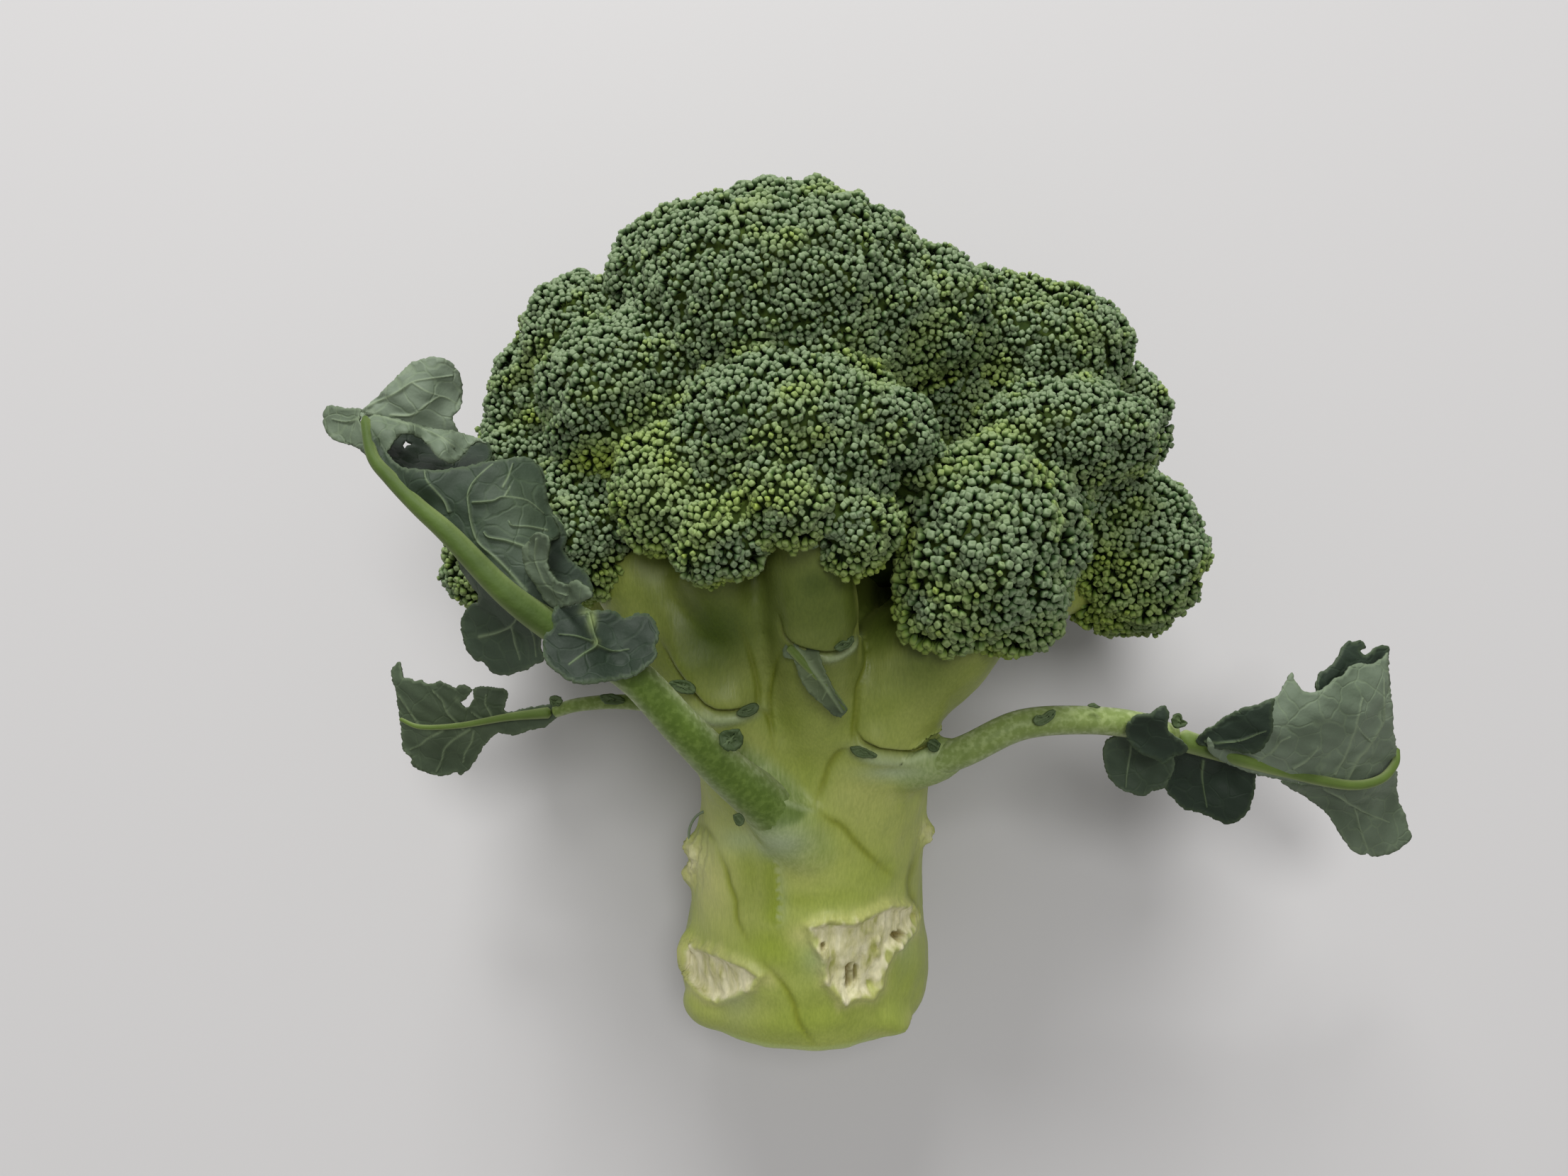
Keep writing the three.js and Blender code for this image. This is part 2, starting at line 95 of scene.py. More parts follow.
# Each floret is a few rounded lobes: centre x, y, z, then half-sizes x, y, z.
FLORETS = {
    "crown_centre": [
        (0, 72.5, 66, 30.5, 24.3, 30), (-17, 79, 66, 17, 15.3, 16), (24, 71.5, 70, 16, 13, 16)],
    "floret_back_left": [(-40.5, 69.5, 55, 12.8, 14.7, 15)],
    "floret_upper_left": [(-30, 55, 73, 15.5, 15, 17)],
    "floret_left": [(-52, 46, 48, 13, 13, 14), (-50, 61.5, 50, 10.5, 11, 12)],
    "floret_front_left": [(-39, 30, 69, 12, 13, 14)],
    "floret_front_centre": [
        (2, 45.5, 80, 22, 15.5, 21), (-21.5, 35, 84, 8.5, 11, 10), (-11.5, 27, 88, 8.5, 8.5, 9),
        (1, 32, 94, 8, 7, 8), (12.5, 28, 88, 7.5, 8, 8.5), (16, 45, 84, 11, 9, 12)],
    "floret_back_right": [(51.5, 67.5, 58, 17.5, 14, 17), (40.5, 72.5, 58, 11, 12, 13)],
    "floret_upper_right": [(52.5, 48.5, 66, 19, 10.5, 18)],
    "floret_inner_right": [(32, 55, 57.5, 13, 12, 13)],
    "floret_far_right": [(71, 57, 44, 9.5, 13.5, 13)],
    "floret_front_right": [
        (36, 26, 77, 14.5, 16, 17), (29, 16, 77, 8.5, 8.5, 9), (42.5, 17, 74, 9.5, 9.5, 10.5),
        (48, 31, 70, 9.5, 12, 13), (28, 35, 75, 8.5, 10, 11), (39, 38, 78, 9, 8.5, 10)],
    "floret_right": [(70.5, 29, 48, 15, 17, 18), (60, 36, 52, 10, 13, 13)],
    "floret_low_left": [(-63, 27.5, 34, 10.5, 10.5, 13)],
    "under_centre": [(2, 40, 20, 24, 20, 20.5)],
    "under_left": [(-42, 40, 20, 18, 17, 20.5)],
    "under_right": [(46, 40, 20, 18, 18, 20.5)],
    "under_back_centre": [(0, 72, 28, 27, 21, 23)],
    "under_back_left": [(-35, 66, 27, 18, 16, 18)],
    "under_back_right": [(35, 66, 27, 18, 17, 18)],
    "under_rim_left": [(-24, 21, 21, 13, 12, 14)],
    "under_rim_centre": [(2, 17, 16, 12, 10, 12)],
    "under_rim_right": [(28, 20, 19, 13, 12, 14)],
    "under_far_right": [(64, 44, 26, 14, 14, 14)],
    "under_far_left": [(-57, 54, 30, 10, 12, 12)],
}
# The pitch of the larger buds on some florets, and the florets whose buds are all dark.
LARGE_BUDS = {"floret_front_right": 1.38, "floret_right": 1.25, "floret_low_left": 1.3}
DARK_FLORETS = ("floret_front_right", "floret_right")
CROWN_MIDDLE = np.array([5, 38, 48])
BARE_CONE = 0.8                      # cosine: no buds this near the inner side of a floret

# ------------------------------------------------------------------ stalk
BUTT = (5, -64, 23.5)                # the middle of the cut end
STALK_TILT = 16                      # degrees
# The trunk, from the cut end: distance along, middle x, half-width, half-height.
TRUNK = [(-2.2, 4.8, 4, 4), (-1.9, 4.8, 22, 21), (-0.3, 4.8, 25.4, 24.4), (4, 4.6, 26.8, 25.8),
         (12, 4.6, 26.3, 26.2), (20, 4.9, 25, 26), (30, 5.2, 24.4, 25.4), (42, 6.2, 24, 25.2),
         (56, 6.4, 24.2, 24.4), (68, 6, 21, 21), (76, 6, 12, 12), (78, 6, 2, 2)]
# Stations along each branch: x, y, z and radius.
BRANCHES = [
    [(2, -20, 44, 16), (-8, -4, 54, 14), (-18, 11, 62, 12), (-30, 28, 66, 10)],
    [(2, -12, 49, 13), (-4, 3, 58, 11), (-9, 14, 66, 9.5), (-14, 26, 78, 7)],
    [(6, -14, 50, 11), (6, 3, 65, 9), (5, 17, 76, 8.5), (4, 32, 84, 7)],
    [(10, -17, 45, 15), (19.5, 0.5, 56, 13), (30.5, 11.5, 62, 12), (38, 24, 68, 11)],
    [(5, -16, 40, 20), (3, 10, 44, 18), (2, 40, 56, 16)],
    [(0, -12, 38, 17), (-18, 14, 38, 12), (-40, 36, 34, 10)],
    [(10, -12, 38, 17), (26, 14, 40, 12), (50, 36, 40, 10)],
    [(5, -14, 32, 14), (3, 12, 28, 12), (2, 34, 24, 9)],
    [(-22, 16, 38, 9), (-42, 22, 36, 7), (-62, 27, 35, 6)],
    [(24, 10, 46, 11), (46, 19, 49, 8), (68, 27, 49, 7)],
]
BRANCH_MASS = (8, 42, 48, 41.5, 21.5, 25.5)     # flesh behind the branches, as a lobe, dark with painted shade
STALK_VOXEL = 1.15                   # the grid on which the stalk is made one skin
CUT_RADIUS = 25                      # of the pale face of the cut end
SKIN_WAVER = 0.16                    # height of the skin's slow waves
SKIN_EDGE = 1.7                      # longest mesh edges of the skin
SHOWN_EDGE = 0.95                    # the same where the photograph shows the trunk
MARK_EDGE = 0.42                     # the same within MARK_REACH pixels of a drawn mark
MARK_REACH = 9
SHOWN_TRUNK = (880, 1400, 840)       # left, right and top in the photograph
FOOT_SWELL = 2.0                     # heights and depths of the marks
POCKET_DEPTH = 0.9
RIM_HEIGHT = 1.1
FLOOR_DEPTH = 0.3
FLOOR_ROUGHNESS = 0.42
PIT_DEPTH = 1.6
RAGGED_HEIGHT = 0.8
FOOT_START = 4                       # pixels over which a branch's foot swells from its pocket
FOOT_FADE = 26                       # over which it dies away again
FOOT_ENDS = (6, 30)                  # and how far it reaches out of and into the pocket's ends

# The swollen bases of the two large leaf stalks, where they leave the trunk.
FLARE_LEFT = [(14, -39, 42, 8), (8, -32.5, 51, 7.6), (3, -27.2, 55.5, 7), (-2, -22.2, 60, 5.9),
              (-7, -17.3, 66, 4)]
FLARE_RIGHT = [(10, -18, 44, 7), (17, -15.5, 50, 6.6), (24, -14, 56, 5.6), (30, -12.5, 61, 4.2),
               (35, -10.5, 64, 2.6)]

# Marks on the stalk, drawn over the photograph: places in its pixels, heights in millimetres.
POCKETS = [                          # the lower edge of a branch's foot
    [(931, 905), (950, 937), (972, 968), (993, 992), (1010, 1001), (1030, 1002), (1050, 999),
     (1069, 993)],
    [(1097, 868), (1104, 893), (1120, 907), (1142, 915), (1165, 919), (1186, 914), (1203, 900),
     (1210, 880)],
    [(1206, 1030), (1218, 1045), (1240, 1054), (1266, 1058), (1292, 1058), (1318, 1042),
     (1345, 1010)],
]
LEDGES = [                           # pale lips below them: points, half-width, height
    ([(962, 985), (985, 1008), (1010, 1015), (1040, 1012), (1078, 998)], 9, 1.2),
    ([(1140, 926), (1172, 928), (1194, 917), (1212, 897)], 6, 0.8),
    ([(1192, 1050), (1222, 1064), (1252, 1070), (1290, 1072), (1330, 1052)], 11, 1.3),
]
GROOVES = [                          # points, half-width in pixels, depth
    ([(1030, 862), (1050, 900), (1060, 930), (1068, 965), (1070, 996), (1082, 1008), (1089, 1030),
      (1092, 1060)], 3, 0.42),
    ([(1104, 910), (1092, 943), (1087, 966), (1085, 989), (1087, 1010), (1090, 1040)], 2.6, 0.36),
    ([(1221, 890), (1221, 935), (1211, 970), (1208, 1005), (1204, 1035), (1206, 1050)], 3, 0.48),
    ([(1204, 1053), (1185, 1060), (1170, 1080), (1162, 1103), (1152, 1134)], 3.2, 0.36),
    ([(1140, 1134), (1169, 1155), (1188, 1166), (1208, 1189), (1230, 1211), (1262, 1240)], 3.2, 0.3),
    ([(1004, 1180), (1023, 1220), (1029, 1247), (1038, 1270), (1042, 1297), (1060, 1330)], 2.6, 0.24),
    ([(1070, 1346), (1104, 1389), (1119, 1416), (1127, 1443), (1150, 1476)], 3.2, 0.36),
    ([(1300, 1190), (1285, 1228), (1281, 1255), (1296, 1290)], 3.4, 0.3),
    ([(960, 1150), (990, 1165), (1010, 1190)], 3, 0.24),
]
STALK_BUMPS = [                      # x and y in the photograph, height and half-sizes
    (982, 1196, 37, (3.0, 3.4, 2.6)), (972, 1232, 34, (2.2, 2.6, 2.2)),
    (1307, 1172, 40, (2.2, 2.6, 2.4)), (968, 1340, 36, (2, 4, 4)),
    (1214, 1401, 34, (11.6, 8, 11)), (1022, 1410, 36, (9, 6, 9)),
]
SCARS = [                            # where old leaves were torn off
    [(1143, 1304), (1165, 1296), (1198, 1298), (1219, 1289), (1232, 1283),
     (1252, 1275), (1281, 1277), (1289, 1289), (1283, 1306), (1273, 1318), (1261, 1331),
     (1250, 1339), (1245, 1356), (1241, 1372), (1238, 1393), (1228, 1404), (1207, 1403),
     (1190, 1412), (1180, 1397), (1167, 1385), (1162, 1364), (1163, 1347), (1155, 1335),
     (1147, 1322)],
    [(967, 1340), (977, 1332), (1000, 1338), (1030, 1348), (1058, 1360), (1073, 1374), (1063, 1390),
     (1040, 1402), (1018, 1410), (1000, 1408), (985, 1396), (974, 1376), (967, 1356)],
]
SCAR_PITS = [                        # small holes in their floors
    [(1193, 1362), (1201, 1358), (1202, 1390), (1194, 1396)],
    [(1205, 1360), (1212, 1366), (1210, 1388), (1205, 1392)],
    [(1156, 1328), (1163, 1328), (1163, 1336), (1157, 1336)],
    [(1254, 1316), (1266, 1310), (1272, 1316), (1260, 1326)],
]
STEM_FOOT = [                        # where the left leaf stalk's green runs out on the stalk
    (1030, 1085), (1075, 1112), (1110, 1131), (1128, 1139), (1134, 1148), (1126, 1158),
    (1104, 1165), (1077, 1171), (1040, 1150)]
# The pale rim along its upper side.
STEM_RIM = [(1046, 1094), (1075, 1114), (1105, 1131), (1130, 1140), (1151, 1144)]
# The toothed edge of a yellow-green patch, and the spacing and depth of its teeth.
TOOTHED_EDGE = [(1088, 1206), (1092, 1240), (1096, 1270), (1094, 1290)]
TOOTH_PITCH = 13
TOOTH_DEPTH = 10
# Soft patches: middle x and y, half-width, half-height, strength.
RAGGED_SPOTS = [(975, 1212, 18, 36, 1), (1312, 1174, 14, 20, 1)]
CREAM_SPOTS = [
    (962, 1345, 10, 26, 1), (1005, 1245, 34, 62, 0.9), (975, 1215, 16, 34, 1),
    (1125, 1232, 34, 42, 0.35), (1215, 1120, 50, 40, 0.4), (1050, 1060, 30, 40, 0.35),
    (1275, 1170, 20, 50, 0.4), (1040, 1420, 46, 30, 0.4), (1262, 1460, 30, 9, 1),
    (1280, 1444, 8, 14, 1), (1132, 1318, 22, 18, 0.9), (1085, 1380, 16, 14, 0.9)]
FRESH_SPOTS = [
    (1090, 1335, 44, 34, 0.8), (1135, 1095, 34, 44, 0.5), (1095, 1120, 44, 24, 0.4),
    (1055, 1225, 20, 50, 0.5), (1120, 1268, 46, 12, 0.7), (1200, 1262, 60, 14, 0.4),
    (1150, 1440, 120, 34, 0.6), (1240, 1230, 40, 30, 0.4), (1276, 1150, 12, 50, 0.6),
    (1275, 1380, 30, 60, 0.6)]
WAX_SPOTS = [
    (1098, 1187, 38, 22, 1), (1050, 1184, 36, 20, 0.6), (1262, 1088, 44, 13, 0.9),
    (1040, 1400, 22, 40, 0.35), (1150, 1350, 22, 24, 0.4), (1272, 1330, 14, 34, 0.3)]
# Olive green on the branches, with painted shade where the crown hangs over them.
OLIVE_AND_SHADE_SPOTS = [
    (1150, 850, 330, 170, 0.85), (1010, 890, 100, 100, 1), (1300, 930, 90, 80, 0.8),
    (985, 930, 45, 45, 0.5), (1150, 825, 75, 60, 0.95), (1060, 900, 26, 90, 0.7),
    (1240, 885, 52, 75, 0.9), (1335, 865, 85, 70, 0.8), (1140, 990, 50, 60, 0.25),
    (1150, 875, 40, 40, 0.35)]
# Low swellings, with their height in place of the strength.
LOW_LUMPS = [(1130, 1160, 50, 30, 0.75), (1030, 1350, 60, 50, 1.25), (1200, 1310, 80, 50, 1.25),
             (1268, 1448, 24, 22, 2.25), (1300, 1345, 30, 60, 0.75), (985, 1345, 26, 24, 1),
             (1200, 1110, 60, 40, 0.5), (1060, 1060, 40, 40, 0.5)]

# Which numbers each colour layer of the stalk holds, for its material to read.
STALK_LAYERS = {
    "skin": ("cream", "olive_and_shade", "wax", "fresh"),
    "marks": ("scar", "crease_shade", "pit", "stem"),
    "butt": ("cut", "radius", "foot", "furrow"),
}

# ------------------------------------------------------------------ leaves
TOOTH_SPACING = 15                   # between the teeth of a leaf's edge, in pixels
VEIN_EDGE = 2.4                      # longest mesh edges near a vein, in pixels
VEIN_REACH = 7                       # how near that is
LEAF_THICKNESS = 0.45                # in millimetres, as are the next three
LEAFLET_THICKNESS = 0.35
VEIN_RISE = 0.3
PUCKER = 0.32                        # height of the blade's uneven folds

# Stations along each leaf stalk and midrib: x, y, z and radius.
PETIOLE_LEFT = [(10, -34, 48, 5.6), (5, -29, 54, 5.8), (0.2, -24.4, 58.6, 5.5),
                (-5, -19.4, 64.4, 4.8), (-11, -13.8, 71.4, 4.1), (-18, -6, 80, 3.6),
                (-25, 2, 85, 3.3), (-31, 6.5, 87, 3.1)]
MIDRIB_LEFT = [(-31.3, 6.7, 87, 3.0), (-39, 11, 89.5, 2.7), (-47, 17, 92.4, 2.2),
               (-56.7, 26.8, 92.4, 1.8), (-62.4, 31.7, 91.2, 1.5), (-68.2, 37.1, 88.5, 1.3),
               (-72.3, 41.6, 86, 1.1), (-75.5, 49.6, 81.3, 0.9)]
PETIOLE_RIGHT = [(16, -12, 46, 4.4), (22, -13, 55, 4.2), (26, -13.7, 59, 3.4), (34, -11, 64, 3),
                 (44.5, -6, 66, 2.9), (56, -5, 66, 2.7), (67, -6, 65, 2.6), (75, -8.5, 63, 2.3)]
MIDRIB_RIGHT = [(75.3, -8.6, 62.9, 2.2), (86.5, -12, 61, 1.7), (98, -15.3, 59, 1.2),
                (110, -17.8, 57, 1), (117.3, -17, 55, 0.9), (121.5, -14, 53, 0.8),
                (123, -11, 51, 0.7)]
PETIOLE_SMALL = [(-2, -4, 54, 2.4), (-6, -3.5, 55, 2.2), (-19, -3.2, 54, 1.8),
                 (-31.5, -1.7, 52, 1.5), (-41, -2.2, 51, 1.4), (-46.7, -3.7, 50, 1.3)]
MIDRIB_SMALL = [(-47, -3.8, 50.5, 1.2), (-56, -4.8, 50, 0.8), (-66, -6.5, 48.9, 0.6),
                (-74, -6.8, 48, 0.5), (-78.7, -5.2, 46.8, 0.4)]
FORK_MIDRIB = [(0.9, 8.4, 78.5, 0.9), (4, 5, 79.5, 0.8), (8, 1, 79, 0.7), (11.3, -3.1, 76, 0.5)]

# Each lobe of a blade, from the photograph: its tone, which paints light and shade on its front and
# the opposite on its back, its outline, its veins (line and width), a hole, pale patches, and light
# patches that raise the tone. In millimetres: points along its root and its outer edge, how far it
# bows between them, and more points that it passes through.
LEFT_LOBES = [
    {"light_and_shade_tone": 0.32, "light": [(735, 725, 60, 70, 0.22)],
     "root": [(-71, 40, 85), (-63, 32, 89), (-55, 25, 91), (-44, 14.5, 91)],
     "edge": [(-66, 39, 89), (-57, 39, 90), (-47, 40, 88), (-38, 26, 84)], "bow": 3,
     "outline": [
         (524, 606), (526, 627), (531, 647), (546, 668), (564, 690), (586, 716), (608, 739), (629, 758),
         (652, 777), (676, 794), (704, 817), (733, 843), (766, 876), (781, 887), (781, 858),
         (766, 832), (751, 810), (743, 787), (749, 773), (770, 766), (787, 759), (788, 744),
         (780, 725), (772, 702), (770, 683), (766, 666), (757, 655), (742, 646), (718, 648),
         (690, 653), (667, 658), (643, 662), (619, 665), (596, 664), (572, 661), (555, 649),
         (545, 636)],
     "veins": [
         ([(742, 832), (704, 791), (678, 768), (667, 744), (662, 716), (661, 697), (671, 678),
           (695, 657)], 3),
         ([(742, 773), (714, 763), (690, 758), (683, 751)], 3),
         ([(770, 749), (747, 744), (723, 742), (718, 735)], 2.2),
         ([(634, 722), (628, 707), (616, 692), (603, 678), (600, 666)], 2.4),
         ([(667, 709), (695, 707), (709, 702), (742, 707), (766, 725)], 2.2),
         ([(711, 702), (718, 688)], 2), ([(709, 688), (718, 669), (723, 655)], 2)]},
    {"light_and_shade_tone": 0.9,
     "root": [(-76, 50, 80), (-71, 49, 81), (-66, 48, 81), (-58, 47, 78)],
     "edge": [(-71, 46, 86), (-66, 45.5, 88), (-60, 43, 87), (-53, 43.5, 83)], "bow": 2,
     "outline": [
         (511, 581), (532, 588), (558, 592), (582, 599), (605, 604), (643, 612), (669, 617),
         (688, 627), (676, 625), (667, 628), (655, 640), (643, 652), (630, 652), (617, 644),
         (608, 632), (598, 622), (586, 615), (574, 613), (564, 616), (556, 624), (550, 634),
         (541, 642), (530, 626), (519, 602), (511, 589)],
     "veins": [([(516, 584), (560, 596), (610, 612), (640, 632)], 2.5)]},
    {"light_and_shade_tone": 0.08,
     "root": [(-76, 50, 80), (-72, 43, 82), (-69, 38, 83), (-64, 34, 84)],
     "edge": [(-73, 47, 76), (-68, 43, 74), (-61, 40, 74), (-53, 38, 76)], "bow": 0,
     "outline": [
         (539, 634), (548, 624), (558, 615), (572, 610), (588, 611), (602, 619), (612, 632),
         (620, 644), (632, 650), (643, 650), (655, 639), (667, 627), (689, 626), (692, 650), (667, 662),
         (643, 668), (619, 671), (596, 671), (570, 668), (550, 655)],
     "hole": [(568, 633), (570, 621), (582, 632)],
     "veins": [([(600, 625), (640, 655)], 2)]},
    {"light_and_shade_tone": 1.0,
     "root": [(-76.5, 49, 80), (-72, 49, 81), (-66, 48, 81), (-60, 47, 79)],
     "edge": [(-74, 53, 80), (-68, 58.5, 82), (-62, 60, 82), (-59, 53, 78)], "bow": 1.5,
     "outline": [
         (511, 581), (520, 571), (537, 556), (553, 541), (568, 526), (582, 512), (596, 507),
         (610, 504), (631, 508), (643, 519), (649, 530), (652, 551), (650, 570), (648, 578),
         (640, 586), (638, 593), (644, 602), (645, 612), (629, 611), (605, 606), (582, 601),
         (558, 594), (534, 588)],
     "veins": [([(520, 574), (558, 556), (582, 541), (603, 536), (638, 530)], 2.6),
               ([(553, 586), (582, 585), (603, 570), (622, 560), (648, 574)], 2.6),
               ([(582, 541), (600, 552), (622, 560)], 1.8)]},
    {"light_and_shade_tone": 0.75,
     "root": [(-76, 51, 80), (-76, 48, 81), (-75, 45, 83), (-73, 42, 84)],
     "edge": [(-81, 52.5, 78), (-84.5, 50.5, 77), (-83, 46, 78), (-77, 42, 82)], "bow": 1,
     "outline": [
         (512, 580), (506, 576), (494, 577), (473, 573), (461, 575), (457, 589), (459, 605),
         (467, 617), (477, 623), (501, 630), (516, 640), (534, 660), (524, 636), (514, 608),
         (509, 591)],
     "veins": [([(510, 592), (490, 596), (470, 592)], 2)]},
    {"light_and_shade_tone": 0.2,
     "root": [(-53, 23, 91), (-49, 19, 92), (-45, 15.5, 92), (-41, 12.5, 91)],
     "edge": [(-42, 31, 86), (-37, 27, 84), (-33, 21, 82), (-33, 14, 84)], "bow": -2,
     "outline": [
         (776, 725), (787, 732), (797, 747), (799, 763), (795, 777), (808, 793), (825, 806),
         (833, 821), (836, 833), (827, 835), (813, 821), (800, 827), (787, 821), (776, 807),
         (770, 788), (775, 773), (774, 762), (787, 759), (788, 744)]},
    {"light_and_shade_tone": 0.7,
     "root": [(-53, 23, 91), (-49, 19, 92), (-45, 15.5, 92), (-41, 12.5, 91)],
     "edge": [(-47, 29, 95), (-41, 27, 97), (-37, 21, 97), (-36, 13, 95)], "bow": -1.5,
     "outline": [
         (739, 782), (741, 770), (747, 762), (757, 751), (770, 755), (776, 762), (776, 773),
         (772, 788), (777, 806), (788, 819), (800, 825), (813, 818), (825, 824), (833, 830),
         (836, 839), (830, 846), (818, 851), (799, 855), (784, 857), (771, 848), (763, 835),
         (755, 822), (744, 806)],
     "veins": [([(758, 760), (757, 790), (775, 825), (800, 840)], 2)]},
    {"light_and_shade_tone": 0.45,
     "root": [(-57, 26.5, 90), (-51, 20.5, 90), (-46, 16, 90), (-40, 11.5, 90)],
     "edge": [(-61, 18, 76), (-58, 8, 74), (-51, 3, 74), (-44, 5, 78)], "bow": 3,
     "outline": [
         (676, 806), (685, 817), (699, 827), (711, 839), (728, 850), (747, 867), (762, 881),
         (767, 892), (763, 907), (765, 919), (768, 931), (755, 937), (742, 945), (729, 948),
         (716, 952), (697, 949), (683, 933), (674, 932), (662, 920), (656, 907), (651, 883),
         (655, 865), (663, 854), (675, 849), (677, 838), (667, 825), (656, 808), (646, 784),
         (641, 769), (652, 778), (667, 791)],
     "veins": [([(678, 898), (704, 891), (723, 881), (733, 866), (738, 853)], 3.2),
               ([(723, 881), (728, 905), (735, 930)], 2), ([(738, 868), (752, 890), (758, 925)], 2)]},
    {"light_and_shade_tone": 0.1,
     "root": [(-40, 12, 94), (-36, 10, 94.5), (-32, 7.5, 94), (-28, 5, 92.5)],
     "edge": [(-40, 6, 96.5), (-36, 2, 98), (-29, 1, 98), (-23, 3, 96)], "bow": 1,
     "pale": [(835, 874, 6, 15, 0.9), (827, 862, 9, 5, 0.6), (841, 906, 5, 6, 0.6)],
     "outline": [
         (781, 861), (785, 856), (800, 854), (815, 851), (832, 861), (850, 862), (866, 863),
         (881, 873), (898, 866), (916, 868), (926, 881), (930, 898), (925, 912), (927, 926),
         (914, 940), (900, 951), (879, 957), (855, 962), (828, 966), (806, 961), (787, 950),
         (770, 933), (766, 912), (770, 895), (781, 887), (779, 874)],
     "veins": [([(830, 866), (837, 894), (841, 910), (822, 924), (803, 939)], 4),
               ([(841, 910), (865, 919), (888, 917)], 2), ([(835, 905), (813, 898), (789, 895)], 2)]},
]
